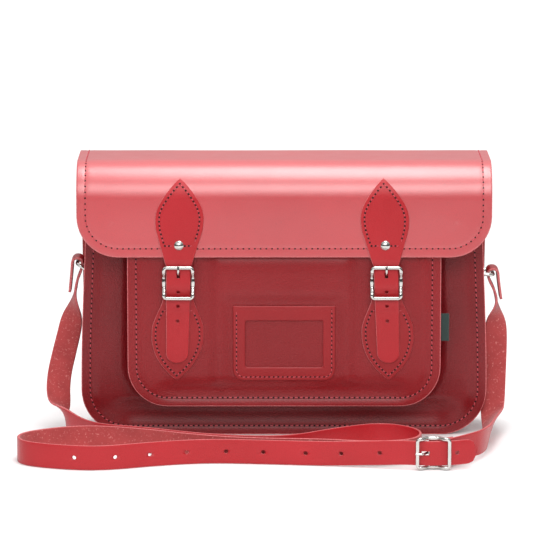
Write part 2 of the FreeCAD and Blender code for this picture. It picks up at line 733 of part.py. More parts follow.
def main():
    os.makedirs("parts", exist_ok=True)
    save("back_panel", back_panel())
    save("flap_top", flap_top())
    save("flap_front", flap_front())
    save("flap_thread", flap_seam())
    save("main_front_panel", thick_face(body_face(FRONT_Y), LEATHER))
    save("main_panel_thread", seam(inset_body, FRONT_Y, POCKET_TOP_Z + 40))
    save("main_gusset", main_gusset())
    save("pocket_front_panel", thick_face(pocket_face(POCKET_Y), POCKET_WALL))
    save("pocket_thread", seam(inset_pocket, POCKET_Y, POCKET_TOP_Z - 4))
    save("pocket_gusset", pocket_gusset())
    save("name_card_holder", card_holder())
    save("card_holder_thread", seam(inset_card, POCKET_Y - CARD_WALL, CARD_TOP_Z - 2))
    save("blank_side_label", side_label())
    for name, x, lean in zip(("left", "right"), STRAP_X, STRAP_LEAN):
        save(name + "_closure_strap", closure_strap(x, lean))
        save(name + "_strap_rivet", closure_rivet(leaned(x, lean, RIVET_Z)))
        save(name + "_buckle_chape", buckle_chape(x, lean))
        save(name + "_buckle_frame", placed(buckle_frame(), x))
        save(name + "_buckle_tongue", placed(buckle_tongue(), x))
    for name, side in (("left", -1), ("right", 1)):
        save(name + "_d_ring", d_ring(name, side))
        save(name + "_ring_chape", ring_chape(side))
        for place, z in zip(("lower", "upper"), RING_RIVETS):
            save(name + "_ring_rivet_" + place, ring_rivet(side, z))
    save("shoulder_strap_long", long_strap())
    save("shoulder_strap_short", short_strap())
    x, y, z = CARRY_BAR
    save("shoulder_buckle_frame", placed(buckle_frame(CARRY_FAR), x, z, y, -90))
    save("shoulder_buckle_tongue", placed(buckle_tongue(CARRY_FAR), x, z, y, -90))


main()
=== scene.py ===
import math
import random

import bpy
import bmesh
import numpy as np
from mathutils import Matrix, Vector, noise


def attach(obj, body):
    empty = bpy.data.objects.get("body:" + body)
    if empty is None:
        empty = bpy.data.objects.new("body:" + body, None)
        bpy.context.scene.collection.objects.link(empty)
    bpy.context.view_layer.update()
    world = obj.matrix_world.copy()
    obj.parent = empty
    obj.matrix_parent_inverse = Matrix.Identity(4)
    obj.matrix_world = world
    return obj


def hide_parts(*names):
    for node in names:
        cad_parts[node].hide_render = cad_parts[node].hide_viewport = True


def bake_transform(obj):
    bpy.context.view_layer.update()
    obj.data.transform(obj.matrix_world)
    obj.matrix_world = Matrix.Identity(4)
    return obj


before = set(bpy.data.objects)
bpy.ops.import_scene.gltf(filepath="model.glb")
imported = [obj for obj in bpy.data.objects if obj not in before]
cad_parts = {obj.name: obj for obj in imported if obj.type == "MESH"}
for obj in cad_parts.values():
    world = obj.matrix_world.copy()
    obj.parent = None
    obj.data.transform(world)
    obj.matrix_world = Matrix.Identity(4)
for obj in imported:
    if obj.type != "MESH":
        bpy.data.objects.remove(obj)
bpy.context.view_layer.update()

random.seed(11)
MM = 0.001

# Sizes in millimetres, as in the CAD
LEATHER = 2.2
BACK_Y = 49.0
FRONT_Y = -11.4
POCKET_Y = -37.4
FLAP_Y = -43.2
TOP_Z = 232.0
STITCH_INSET = 7.3
STRAP_X = {"left": -86.8, "right": 83.8}
STRAP_LEAN = {"left": 0.020, "right": -0.032}
BAR_Y, BAR_Z = -40.3, 134.2
CARRY_BAR = (119.0, -138.0, 13.4)
RING_Y = 18.8


# ---------------------------------------------------------------- camera

def make_camera():
    aim = Vector((-0.0145, 0, 0.140))
    distance, tilt = 3.2, math.radians(10)
    data = bpy.data.cameras.new("camera")
    data.sensor_width = 36
    data.lens = 260.2
    data.clip_end = 60
    camera = bpy.data.objects.new("camera", data)
    camera.location = aim + Vector((0, -math.cos(tilt), math.sin(tilt))) * distance
    camera.rotation_euler = (math.pi / 2 - tilt, 0, 0)
    bpy.context.scene.collection.objects.link(camera)
    bpy.context.scene.camera = camera


make_camera()


# ---------------------------------------------------------------- materials

class Nodes:
    """Short way to write a material's node tree."""

    def __init__(self, name):
        self.material = bpy.data.materials.new(name)
        self.material.use_nodes = True
        self.tree = self.material.node_tree
        self.shader = self.tree.nodes["Principled BSDF"]
        self.coords = self.add("ShaderNodeTexCoord").outputs["Object"]

    def add(self, kind, **values):
        node = self.tree.nodes.new(kind)
        for key, value in values.items():
            if hasattr(node, key):
                setattr(node, key, value)
            else:
                node.inputs[key.replace("_", " ")].default_value = value
        return node

    def link(self, out, into):
        self.tree.links.new(out, into)

    def noise(self, scale, detail=3.0, roughness=0.5):
        node = self.add("ShaderNodeTexNoise", Scale=scale, Detail=detail, Roughness=roughness)
        self.link(self.coords, node.inputs["Vector"])
        return node.outputs["Fac"]

    def cells(self, scale, feature="F1", smooth=0.0):
        node = self.add("ShaderNodeTexVoronoi", feature=feature, Scale=scale)
        if feature == "SMOOTH_F1":
            node.inputs["Smoothness"].default_value = smooth
        self.link(self.coords, node.inputs["Vector"])
        return node.outputs["Distance"]

    def ramp(self, source, low, high, out_low=0.0, out_high=1.0):
        node = self.add("ShaderNodeMapRange")
        node.inputs["From Min"].default_value = low
        node.inputs["From Max"].default_value = high
        node.inputs["To Min"].default_value = out_low
        node.inputs["To Max"].default_value = out_high
        self.link(source, node.inputs["Value"])
        return node.outputs["Result"]

    def mix(self, factor, a, b):
        node = self.add("ShaderNodeMix", data_type="RGBA")
        self.link(factor, node.inputs["Factor"])
        for socket, value in (("A", a), ("B", b)):
            target = [s for s in node.inputs if s.name == socket and s.type == "RGBA"][0]
            if hasattr(value, "links"):
                self.link(value, target)
            else:
                target.default_value = (*value, 1)
        return [s for s in node.outputs if s.type == "RGBA"][0]

    def blend_heights(self, parts):
        total = None
        for source, weight in parts:
            node = self.add("ShaderNodeMath", operation="MULTIPLY")
            self.link(source, node.inputs[0])
            node.inputs[1].default_value = weight
            if total is None:
                total = node.outputs[0]
                continue
            join = self.add("ShaderNodeMath", operation="ADD")
            self.link(total, join.inputs[0])
            self.link(node.outputs[0], join.inputs[1])
            total = join.outputs[0]
        return total

    def bump(self, height, distance, strength=1.0):
        node = self.add("ShaderNodeBump", Strength=strength, Distance=distance)
        self.link(height, node.inputs["Height"])
        self.link(node.outputs["Normal"], self.shader.inputs["Normal"])

    def set(self, **values):
        for key, value in values.items():
            socket = self.shader.inputs[key.replace("_", " ")]
            socket.default_value = (*value, 1) if isinstance(value, tuple) and len(value) == 3 else value


def leather(
    name, dark, light, rough, grain, depth, coat=0.0, coat_rough=0.2, coat_ior=1.5, spec=0.5, fine=0.25,
):
    """Grain leather: soft colour variation, pebbles with painted shade darkening the creases between them,
    and fine pores.
    """
    n = Nodes(name)
    pebbles = n.cells(grain, "SMOOTH_F1", 0.35)
    creases = n.cells(grain * 0.62, "DISTANCE_TO_EDGE")
    pores = n.noise(grain * 3.2, 2.0)
    cloud = n.ramp(n.noise(14, 4.0), 0.33, 0.67)
    colour = n.mix(cloud, dark, light)
    # Painted shade: the colour darkens along the pebbles' edges, in the creases where the bump sinks.
    crease_painted_shade = n.ramp(creases, 0.0, 0.10, 0.16, 0.0)
    colour = n.mix(crease_painted_shade, colour, tuple(c * 0.35 for c in dark))
    n.link(colour, n.shader.inputs["Base Color"])
    n.link(n.ramp(n.noise(60, 4.0), 0.25, 0.75, rough - 0.06, rough + 0.07), n.shader.inputs["Roughness"])
    height = n.blend_heights([
        (pebbles, -1.0), (n.ramp(creases, 0.0, 0.2), 0.6), (pores, fine), (n.noise(45, 3), 1.6),
    ])
    n.bump(height, depth)
    n.set(Coat_Weight=coat, Coat_Roughness=coat_rough, Coat_IOR=coat_ior, Specular_IOR_Level=spec)
    return n.material


def flesh_side(name, base, pale):
    """Inner side of the leather: matt, fibrous, with pale flecks."""
    n = Nodes(name)
    colour = n.mix(n.ramp(n.noise(70, 5.0, 0.6), 0.35, 0.7), base, tuple(c * 0.8 for c in base))
    flecks = n.ramp(n.noise(520, 3.0, 0.7), 0.58, 0.72)
    colour = n.mix(flecks, colour, pale)
    n.link(colour, n.shader.inputs["Base Color"])
    n.bump(n.blend_heights([(n.noise(900, 4.0, 0.7), 1.0), (n.noise(160, 3.0), 0.8)]), 0.00022)
    n.set(Roughness=0.85, Sheen_Weight=0.25, Sheen_Roughness=0.5, Specular_IOR_Level=0.25)
    return n.material


def cut_edge(name, base, pale):
    n = Nodes(name)
    colour = n.mix(n.ramp(n.noise(700, 4.0, 0.7), 0.35, 0.65), base, pale)
    n.link(colour, n.shader.inputs["Base Color"])
    n.bump(n.noise(1500, 3.0), 0.0001)
    n.set(Roughness=0.6, Specular_IOR_Level=0.35)
    return n.material


def nickel(name):
    n = Nodes(name)
    colour = n.mix(n.ramp(n.noise(90, 3.0), 0.3, 0.7), (0.60, 0.585, 0.56), (0.52, 0.507, 0.487))
    n.link(colour, n.shader.inputs["Base Color"])
    n.link(n.ramp(n.noise(420, 4.0, 0.65), 0.3, 0.7, 0.09, 0.17), n.shader.inputs["Roughness"])
    n.bump(n.noise(450, 3.0, 0.5), 0.000006)
    n.set(Metallic=1.0)
    return n.material


def thread_material(name, base):
    n = Nodes(name)
    wave = n.add("ShaderNodeTexWave", Scale=900.0, Distortion=1.5)
    wave.bands_direction = "DIAGONAL"
    n.link(n.coords, wave.inputs["Vector"])
    # Painted shade: the colour darkens where the wave's bump sinks, in the grooves of the twist.
    colour = n.mix(n.ramp(wave.outputs["Fac"], 0.0, 1.0), tuple(c * 0.7 for c in base), base)
    n.link(colour, n.shader.inputs["Base Color"])
    n.bump(wave.outputs["Fac"], 0.00006)
    n.set(Roughness=0.55, Sheen_Weight=0.1)
    return n.material


def plain(name, base, rough):
    n = Nodes(name)
    colour = n.mix(n.ramp(n.noise(800.0 * 0.4, 3.0), 0.3, 0.7), base, tuple(c * 0.8 for c in base))
    n.link(colour, n.shader.inputs["Base Color"])
    n.bump(n.noise(800.0, 3.0), 0.00005)
    n.set(Roughness=rough)
    return n.material


def woven(name, base):
    n = Nodes(name)
    parts = []
    for direction in ("X", "Z"):
        wave = n.add("ShaderNodeTexWave", Scale=700.0)
        wave.bands_direction = direction
        n.link(n.coords, wave.inputs["Vector"])
        parts.append((wave.outputs["Fac"], 1.0))
    height = n.blend_heights(parts)
    # Painted shade: the colour darkens where the weave's bump sinks, between the crossing threads.
    n.link(n.mix(n.ramp(height, 0.3, 1.7), tuple(c * 0.6 for c in base), base), n.shader.inputs["Base Color"])
    n.bump(height, 0.00008)
    n.set(Roughness=0.6, Sheen_Weight=0.2)
    return n.material


FLAP = leather(
    "flap_leather_red", (0.46, 0.006, 0.014), (0.52, 0.009, 0.018), 0.40, 1150, 0.00006, coat=1.0,
    coat_rough=0.36, coat_ior=1.9, spec=0.45,
)
# Body hide: its base colour is set far darker than the flap's. This is painted shade for the shadow the flap
# and pocket cast on the front panel, over the hide's own deep red.
BODY = leather(
    "body_leather_red_painted_shade", (0.19, 0.003, 0.006), (0.22, 0.004, 0.008), 0.42, 780, 0.00034, coat=0.45,
    coat_rough=0.34, coat_ior=1.6, spec=0.12,
)
POCKET = leather(
    "pocket_leather_red", (0.24, 0.003, 0.006), (0.27, 0.004, 0.008), 0.42, 800, 0.00028, coat=0.45,
    coat_rough=0.34, coat_ior=1.6, spec=0.12,
)
STRAP = leather(
    "strap_leather_red", (0.40, 0.010, 0.015), (0.45, 0.012, 0.019), 0.4, 1050, 0.00007, coat=0.2,
    coat_rough=0.3, spec=0.3,
)
CHAPE = leather(
    "chape_leather_red", (0.29, 0.007, 0.010), (0.33, 0.009, 0.013), 0.4, 1000, 0.00008, coat=0.15,
    coat_rough=0.3, spec=0.3,
)
FLESH = flesh_side("leather_flesh_side", (0.42, 0.055, 0.055), (0.62, 0.22, 0.20))
EDGE = cut_edge("leather_cut_edge", (0.46, 0.07, 0.08), (0.66, 0.20, 0.20))
NICKEL = nickel("polished_nickel")
# The thread's own red, with its base lifted lighter as painted highlight for the pink shine on the stitches.
THREAD = thread_material("waxed_thread_red_painted_light", (0.66, 0.075, 0.10))
# Painted shade: near-black colour for the awl-hole cups, standing in for the shadow inside each hole.
STITCH_HOLE_SHADE = plain("stitch_hole_painted_shade", (0.02, 0.002, 0.003), 0.9)
LABEL = woven("label_tape_green", (0.010, 0.036, 0.030))


def faced(surface):
    """A leather piece's materials: grain side, flesh side, cut edge."""
    return [surface, FLESH, EDGE]


# ---------------------------------------------------------------- meshes

def turn_angles(count):
    return [math.tau * k / count for k in range(count)]


def build(name, verts, faces, materials, face_materials=None, smooth=True, outward=True):
    """A mesh object from points in millimetres."""
    mesh = bpy.data.meshes.new(name)
    mesh.from_pydata([tuple(c * MM for c in v) for v in verts], [], faces)
    for material in materials:
        mesh.materials.append(material)
    if face_materials is not None:
        mesh.polygons.foreach_set("material_index", face_materials)
    mesh.polygons.foreach_set("use_smooth", [smooth] * len(mesh.polygons))
    if outward:
        work = bmesh.new()
        work.from_mesh(mesh)
        bmesh.ops.remove_doubles(work, verts=work.verts, dist=1e-6)
        bmesh.ops.recalc_face_normals(work, faces=work.faces)
        work.to_mesh(mesh)
        work.free()
    mesh.update()
    obj = bpy.data.objects.new(name, mesh)
    bpy.context.scene.collection.objects.link(obj)
    return obj


def smoothstep(x, low, high):
    t = max(0.0, min(1.0, (x - low) / (high - low)))
    return t * t * (3 - 2 * t)


def wander(x, y, z, size, seed=0.0):
    """Slow unevenness of hide, about -1 to 1."""
    return noise.noise(Vector((x / size + seed, y / size - seed, z / size + 3.7)))


def rounded_path(points, radii=None, step=0.5):
    """Points along straight runs joined by tangent arcs, as the CAD's strips have them."""
    pts = [Vector((p[0], p[1])) for p in points]
    radii = radii or {}
    out = [pts[0]]

    def run_to(p):
        start = out[-1].copy()
        count = max(1, math.ceil((p - start).length / step))
        for k in range(1, count + 1):
            out.append(start.lerp(p, k / count))

    for i in range(1, len(pts) - 1):
        before, after = pts[i] - pts[i - 1], pts[i + 1] - pts[i]
        a, b = before.normalized(), after.normalized()
        turn = math.acos(max(-1.0, min(1.0, a.dot(b))))
        if turn < 1e-4:
            continue
        radius = radii.get(i, 0.45 * min(before.length, after.length) / math.tan(turn / 2))
        cut = radius * math.tan(turn / 2)
        start = pts[i] - a * cut
        side = 1.0 if a.cross(b) > 0 else -1.0
        centre = start + Vector((-a.y, a.x)) * (side * radius)
        if (start - out[-1]).length > 1e-4:
            run_to(start)
        arm = start - centre
        count = max(4, math.ceil(radius * turn / step))
        for k in range(1, count + 1):
            c, s = math.cos(side * turn * k / count), math.sin(side * turn * k / count)
            out.append(centre + Vector((arm.x * c - arm.y * s, arm.x * s + arm.y * c)))
    if (pts[-1] - out[-1]).length > 1e-4:
        run_to(pts[-1])
    return out


class Profile:
    """A bent line in a plane, asked for its points and outward normals by length along it."""

    def __init__(self, points, radii=None, flip=False):
        path = np.array([tuple(p) for p in rounded_path(points, radii)])
        runs = np.hypot(*np.diff(path, axis=0).T)
        self.s = np.concatenate([[0], np.cumsum(runs)])
        self.path = path
        along = np.gradient(path, self.s, axis=0)
        along /= np.linalg.norm(along, axis=1)[:, None]
        self.normal = np.stack([along[:, 1], -along[:, 0]], axis=1) * (-1 if flip else 1)
        self.length = float(self.s[-1])

    def at(self, s, out=0.0):
        a = np.interp(s, self.s, self.path[:, 0])
        b = np.interp(s, self.s, self.path[:, 1])
        na = np.interp(s, self.s, self.normal[:, 0])
        nb = np.interp(s, self.s, self.normal[:, 1])
        size = math.hypot(na, nb)
        return a + na / size * out, b + nb / size * out

    def nearest(self, a, b):
        gap = np.hypot(self.path[:, 0] - a, self.path[:, 1] - b)
        return float(self.s[int(np.argmin(gap))])


def outline_ring(half, low, high, radii, inset, nu, nv, na):
    """Rounded rectangle moved in by inset, from the low right corner.

    It has the same number of points for every inset.
    """
    corners = [(1, -1), (1, 1), (-1, 1), (-1, -1)]
    arcs = []
    for k, (su, sv) in enumerate(corners):
        r = max(radii[k] - inset, 0.6)
        cu = su * (half - inset - r)
        cv = low + inset + r if sv < 0 else high - inset - r
        start = math.radians(-90 + 90 * k)
        arcs.append([
            (cu + r * math.cos(start + math.pi / 2 * j / na), cv + r * math.sin(start + math.pi / 2 * j / na))
            for j in range(na + 1)
        ])
    out = []
    for k in range(4):
        out += arcs[k]
        a, b = arcs[k][-1], arcs[(k + 1) % 4][0]
        count = nv if k % 2 == 0 else nu
        out += [(a[0] + (b[0] - a[0]) * j / count, a[1] + (b[1] - a[1]) * j / count) for j in range(1, count)]
    return out


INSETS = [0, 0.25, 0.7, 1.6, 3.2, 4.8, 6.2, 7.0, 7.6, 8.4, 9.6, 11.5, 14, 17.5, 22, 27.5]


def edge_round(d):
    """How far the surface drops in the last part of a millimetre before a cut edge."""
    return 0.45 * (1 - min(1.0, d / 0.7)) ** 2


def seam_dip(d, inset=STITCH_INSET, width=1.5, depth=0.25):
    """The groove that tight stitching pulls into leather."""
    return depth * math.exp(-((d - inset) / width) ** 2)


def sheet_mesh(name, half, low, high, radii, place, front, back, materials, step):
    """A panel of leather: rings of points that follow its edge, and a grid inside the last of them."""
    insets, na = INSETS, 12
    nu = max(4, round((2 * half - 40) / step))
    nv = max(4, round((high - low - 40) / step))
    rings = [outline_ring(half, low, high, radii, d, nu, nv, na) for d in insets]
    count = len(rings[0])
    flat = []
    for d, ring in zip(insets, rings):
        flat += [(u, v, d) for u, v in ring]
    base = (len(insets) - 1) * count
    corner = na // 2
    first = {0: 0, 1: na + nv, 2: 2 * na + nv + nu, 3: 3 * na + 2 * nv + nu}
    wide, tall = na + nu, na + nv

    def on_ring(k):
        return base + k % count

    bottom = [on_ring(first[3] + corner + i) for i in range(wide + 1)]
    right = [on_ring(first[0] + corner + i) for i in range(tall + 1)]
    top = [on_ring(first[1] + corner + wide - i) for i in range(wide + 1)]
    left = [on_ring(first[2] + corner + tall - i) for i in range(tall + 1)]
    grid = [[None] * (tall + 1) for _ in range(wide + 1)]
    for i in range(wide + 1):
        grid[i][0], grid[i][tall] = bottom[i], top[i]
    for j in range(tall + 1):
        grid[0][j], grid[wide][j] = left[j], right[j]
    points = [Vector(p[:2]) for p in flat]
    p00, p10, p01, p11 = (points[k] for k in (bottom[0], bottom[-1], top[0], top[-1]))
    for i in range(1, wide):
        for j in range(1, tall):
            u, v = i / wide, j / tall
            p = (
                points[bottom[i]] * (1 - v) + points[top[i]] * v
                + points[left[j]] * (1 - u) + points[right[j]] * u
            )
            p -= p00 * (1 - u) * (1 - v) + p10 * u * (1 - v) + p01 * (1 - u) * v + p11 * u * v
            d = min(half - abs(p.x), p.y - low, high - p.y)
            grid[i][j] = len(flat)
            flat.append((p.x, p.y, d))
    loops = []
    for r in range(len(insets) - 1):
        for i in range(count):
            k = (i + 1) % count
            loops.append((r * count + i, r * count + k, (r + 1) * count + k, (r + 1) * count + i))
    for i in range(wide):
        for j in range(tall):
            loops.append((grid[i][j], grid[i + 1][j], grid[i + 1][j + 1], grid[i][j + 1]))
    total = len(flat)
    verts = [place(u, v, front(u, v, d) - edge_round(d)) for u, v, d in flat]
    verts += [place(u, v, back(u, v, d) + edge_round(d)) for u, v, d in flat]
    faces = list(loops) + [tuple(total + k for k in reversed(loop)) for loop in loops]
    marks = [2] * (2 * count) + [0] * (len(loops) - 2 * count) + [1] * len(loops)
    for i in range(count):
        k = (i + 1) % count
        faces.append((i, total + i, total + k, k))
        marks.append(2)
    return build(name, verts, faces, materials, marks)


def strip_mesh(name, sections, materials):
    """Joins rings of points, each a list of (point, material of the face that follows it)."""
    count = len(sections[0])
    verts = [p for ring in sections for p, _ in ring]
    faces, marks = [], []
    last = (len(sections) - 1) * count
    for r in range(len(sections) - 1):
        a, b = r * count, (r + 1) * count
        for i in range(count):
            k = (i + 1) % count
            faces.append((a + i, a + k, b + k, b + i))
            marks.append(sections[r][i][1])
    faces.append(tuple(range(count)))
    faces.append(tuple(last + i for i in reversed(range(count))))
    marks += [2 if len(materials) > 2 else 0] * 2
    return build(name, verts, faces, materials, marks)


def band_section(half, thick):
    """Cross-section of a strap: (across, out, material), with its edges a little rounded."""
    r = min(0.45, half * 0.4)
    t = thick / 2
    fractions = (-1, -0.6, -0.2, 0.2, 0.6)
    out = [(f * (half - 2 * r), t, 0) for f in fractions]
    out += [
        (half - 2 * r, t, 0), (half - r, t - 0.06, 0), (half - 0.15, t - 0.3, 2), (half, 0, 2),
        (half - 0.15, 0.3 - t, 2),
    ]
    out += [(half - r, 0.06 - t, 1), (half - 2 * r, -t, 1)]
    out += [(-f * (half - 2 * r), -t, 1) for f in fractions[1:]]
    out += [
        (2 * r - half, -t, 1), (r - half, 0.06 - t, 1), (0.15 - half, 0.3 - t, 2), (-half, 0, 2),
        (0.15 - half, t - 0.3, 2), (r - half, t - 0.06, 0),
    ]
    return out


def cut_away(obj, cutters):
    """Takes the cutters' shapes out of the piece for good."""
    for cutter in cutters:
        modifier = obj.modifiers.new("cut", "BOOLEAN")
        modifier.operation = "DIFFERENCE"
        modifier.solver = "EXACT"
        modifier.object = cutter
    graph = bpy.context.evaluated_depsgraph_get()
    mesh = bpy.data.meshes.new_from_object(obj.evaluated_get(graph))
    obj.modifiers.clear()
    obj.data = mesh
    for cutter in cutters:
        bpy.data.objects.remove(cutter)


def cutter_mesh(loops, materials):
    """A closed prism between two loops of points, whose walls take the cut edge's material."""
    count = len(loops[0])
    verts = [p for loop in loops for p in loop]
    faces = [(i, (i + 1) % count, count + (i + 1) % count, count + i) for i in range(count)]
    faces += [tuple(reversed(range(count))), tuple(range(count, 2 * count))]
    return build("cutter", verts, faces, materials, [2] * len(faces))


def rod_cutter(centre, along, radius, reach, materials):
    along = Vector(along).normalized()
    side = along.orthogonal().normalized()
    other = along.cross(side)
    loops = []
    for end in (-reach, reach):
        loops.append([
            tuple(Vector(centre) + along * end + (side * math.cos(a) + other * math.sin(a)) * radius)
            for a in turn_angles(16)
        ])
    return cutter_mesh(loops, materials)


def box_cutter(x0, x1, y0, y1, z0, z1, materials):
    loops = [[(x0, y, z0), (x1, y, z0), (x1, y, z1), (x0, y, z1)] for y in (y0, y1)]
    return cutter_mesh(loops, materials)


# ---------------------------------------------------------------- stitches

def along_path(points, pitch, closed=False):
    """Points at an even pitch along a line of (u, v) points, with the direction there."""
    pts = list(points) + ([points[0]] if closed else [])
    pts = [Vector(p) for p in pts]
    runs = [(b - a).length for a, b in zip(pts, pts[1:])]
    total = sum(runs)
    count = max(1, round(total / pitch))
    step = total / count
    out = []
    i, before = 0, 0.0
    for k in range(count):
        want = (k + 0.5) * step
        while i < len(runs) - 1 and before + runs[i] < want:
            before += runs[i]
            i += 1
        share = (want - before) / runs[i]
        out.append((pts[i].lerp(pts[i + 1], share), (pts[i + 1] - pts[i]).normalized(), step))
    return out


STITCH_SHAPE = [
    (-0.5, 0.10, -0.22), (-0.42, 0.26, 0.0), (-0.25, 0.36, 0.16), (0, 0.40, 0.22), (0.25, 0.36, 0.16),
    (0.42, 0.26, 0.0), (0.5, 0.10, -0.22),
]


THREAD_SIDES = 6
HOLE_SIDES = 8
SLANT = math.radians(11)


def stitches(name, runs, place, body=None, size=1.0, fill=0.66, keep=None, hole=0.78):
    """Saddle stitches with the awl's holes between them; each hole is a small dark cup of painted shade.

    runs are lists from along_path, and place turns (u, v, out) into a point.
    """
    verts, faces, marks = [], [], []
    for run in runs:
        for (at, along, step) in run:
            if keep and not keep(at.x, at.y):
                continue
            c, s = math.cos(SLANT), math.sin(SLANT)
            t2 = Vector((along.x * c - along.y * s, along.x * s + along.y * c))
            p0 = Vector(place(at.x, at.y, 0.0))
            up = (Vector(place(at.x, at.y, 1.0)) - p0).normalized()
            ahead = Vector(place(at.x + t2.x * 0.5, at.y + t2.y * 0.5, 0.0)) - p0
            t3 = (ahead - up * ahead.dot(up)).normalized()
            side = up.cross(t3)
            length = step * fill * (1 + random.uniform(-0.03, 0.03))
            lift = random.uniform(-0.03, 0.03)
            start = len(verts)
            for f, r, h in STITCH_SHAPE:
                centre = p0 + t3 * (f * length) + up * ((h + 0.05 + lift) * size)
                for a in turn_angles(THREAD_SIDES):
                    verts.append(tuple(centre + (side * math.cos(a) + up * (0.8 * math.sin(a))) * (r * size)))
            for row in range(len(STITCH_SHAPE) - 1):
                for k in range(THREAD_SIDES):
                    ring = start + row * THREAD_SIDES
                    a, b = ring + k, ring + (k + 1) % THREAD_SIDES
                    faces.append((a, b, b + THREAD_SIDES, a + THREAD_SIDES))
                    marks.append(0)
            for ring in (start, start + (len(STITCH_SHAPE) - 1) * THREAD_SIDES):
                faces.append(tuple(ring + k for k in range(THREAD_SIDES)))
            marks += [0, 0]
            # The awl hole: a small cup on the surface in the near-black painted shade material, not a real
            # opening.
            pit = Vector(place(at.x + along.x * step / 2, at.y + along.y * step / 2, 0.0))
            start = len(verts)
            verts.append(tuple(pit + up * 0.07))
            for rim, depth in ((hole, 0.045), (hole + 0.02, -0.3)):
                for a in turn_angles(HOLE_SIDES):
                    around = t3 * math.cos(a) * 1.05 + side * math.sin(a)
                    verts.append(tuple(pit + up * depth + around * rim))
            upper, lower = start + 1, start + 1 + HOLE_SIDES
            for k in range(HOLE_SIDES):
                m = (k + 1) % HOLE_SIDES
                faces.append((start, upper + k, upper + m))
                faces.append((upper + k, lower + k, lower + m, upper + m))
                marks += [1, 1]
            faces.append(tuple(lower + k for k in range(HOLE_SIDES)))
            marks.append(1)
    obj = build(name, verts, faces, [THREAD, STITCH_HOLE_SHADE], marks)
    if body:
        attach(obj, body)
    return obj


# ---------------------------------------------------------------- bag: back and flap in one bent sheet

BACK_MID = BACK_Y - LEATHER / 2
FLAP_MID = FLAP_Y + LEATHER / 2
TOP_MID = TOP_Z - LEATHER / 2
FLAP_EDGE = 155.0
COVER = Profile(
    [(BACK_MID, 0), (BACK_MID, TOP_MID), (FLAP_MID, TOP_MID), (FLAP_MID, FLAP_EDGE)], {1: 10, 2: 28},
)
COVER_OUTLINE = (170, 0, COVER.length, [38, 34, 34, 38])
SPLIT_Y = 12.0
SPLIT_S = COVER.nearest(SPLIT_Y, TOP_MID)


def body_half(z):
    """Half width of the body panels, which narrow a little towards the top."""
    return 168.5 - 5.5 * smoothstep(z, 40, 240) * 1.1


def cover_place(u, s, out):
    y, z = COVER.at(s, out)
    wide = u * (168.5 + 1.5 * smoothstep(s, 40, 225)) / 170
    return wide, y, z


def cover_wave(u, s):
    """Slow waves of the hide, none of them near the edges that are sewn down."""
    return 0.35 * wander(u, s, 0, 75, 1.3) * smoothstep(170 - abs(u), 4, 30)


def cover_front(u, s, d):
    crown = 0.5 * smoothstep(d, 9, 40) * smoothstep(s, 300, 340)
    return LEATHER / 2 + cover_wave(u, s) + crown - seam_dip(d)


def cover_back(u, s, d):
    return -LEATHER / 2 + cover_wave(u, s) * 0.8


def make_cover():
    sheet = sheet_mesh(
        "leather_cover", *COVER_OUTLINE, cover_place, cover_front, cover_back,
        faced(FLAP), step=2.6,
    )
    parts = {}
    for name, keep_front in (("back_and_flap_top", False), ("flap_front_cover", True)):
        work = bmesh.new()
        work.from_mesh(sheet.data)
        every = work.verts[:] + work.edges[:] + work.faces[:]
        cut = bmesh.ops.bisect_plane(
            work, geom=every, plane_co=(0, SPLIT_Y * MM, 0), plane_no=(0, 1, 0),
            clear_outer=keep_front, clear_inner=not keep_front,
        )
        rim = [e for e in work.edges if e.is_boundary]
        filled = bmesh.ops.triangle_fill(work, use_beauty=True, edges=rim)
        for face in [f for f in filled["geom"] if isinstance(f, bmesh.types.BMFace)]:
            face.material_index = 2
            face.smooth = False
            for edge in face.edges:
                edge.smooth = False
        mesh = bpy.data.meshes.new(name)
        work.to_mesh(mesh)
        work.free()
        for material in faced(FLAP):
            mesh.materials.append(material)
        piece = bpy.data.objects.new(name, mesh)
        bpy.context.scene.collection.objects.link(piece)
        parts[name] = piece
    bpy.data.objects.remove(sheet)
    rear = parts["back_and_flap_top"]
    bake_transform(rear)
    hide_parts("back_panel", "flap_top")
    front = parts["flap_front_cover"]
    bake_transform(front)
    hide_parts("flap_front")


def cover_surface(u, s, out):
    return cover_place(u, s, out + LEATHER / 2 + cover_wave(u, s) - 0.25)


def make_cover_stitches():
    path = outline_ring(*COVER_OUTLINE, STITCH_INSET, 150, 160, 14)
    run = along_path(path, 4.7, closed=True)
    flap = stitches(
        "flap_stitches", [run], cover_surface, size=1.0,
        keep=lambda u, s: s > SPLIT_S and not any(abs(u - x) < 12 for x in STRAP_X.values()),
    )
    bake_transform(flap)
    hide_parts("flap_thread")
    back = stitches("back_stitches", [run], cover_surface, keep=lambda u, s: s < SPLIT_S)
    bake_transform(back)


make_cover()
make_cover_stitches()


# ---------------------------------------------------------------- bag: front, pocket and gussets

def from_pocket(u, v, half=129.0, low=29.3, radius=33.0):
    """Distance outside the pocket's outline, negative inside."""
    dx = abs(u) - (half - radius)
    dz = (low + radius) - v
    if v > low + radius:
        return abs(u) - half
    return math.hypot(max(dx, 0), max(dz, 0)) - radius if dx > 0 else dz - radius


MAIN_OUTLINE = (168.5, 0, 222, [38, 0.6, 0.6, 38])


def main_place(u, v, out):
    return u * body_half(v) / 168.5, FRONT_Y - out, v


def main_bulge(u, v, d):
    below = smoothstep(34 - v, 0, 12) * smoothstep(150 - abs(u), 0, 25)
    crown = 3.0 * smoothstep(d, 8.2, 17) * smoothstep(from_pocket(u, v), -1, 6) * smoothstep(222 - v, 0, 30)
    return crown * (1 - below) - 3.4 * smoothstep(d, 1, 19) * smoothstep(from_pocket(u, v), 0, 5) * below


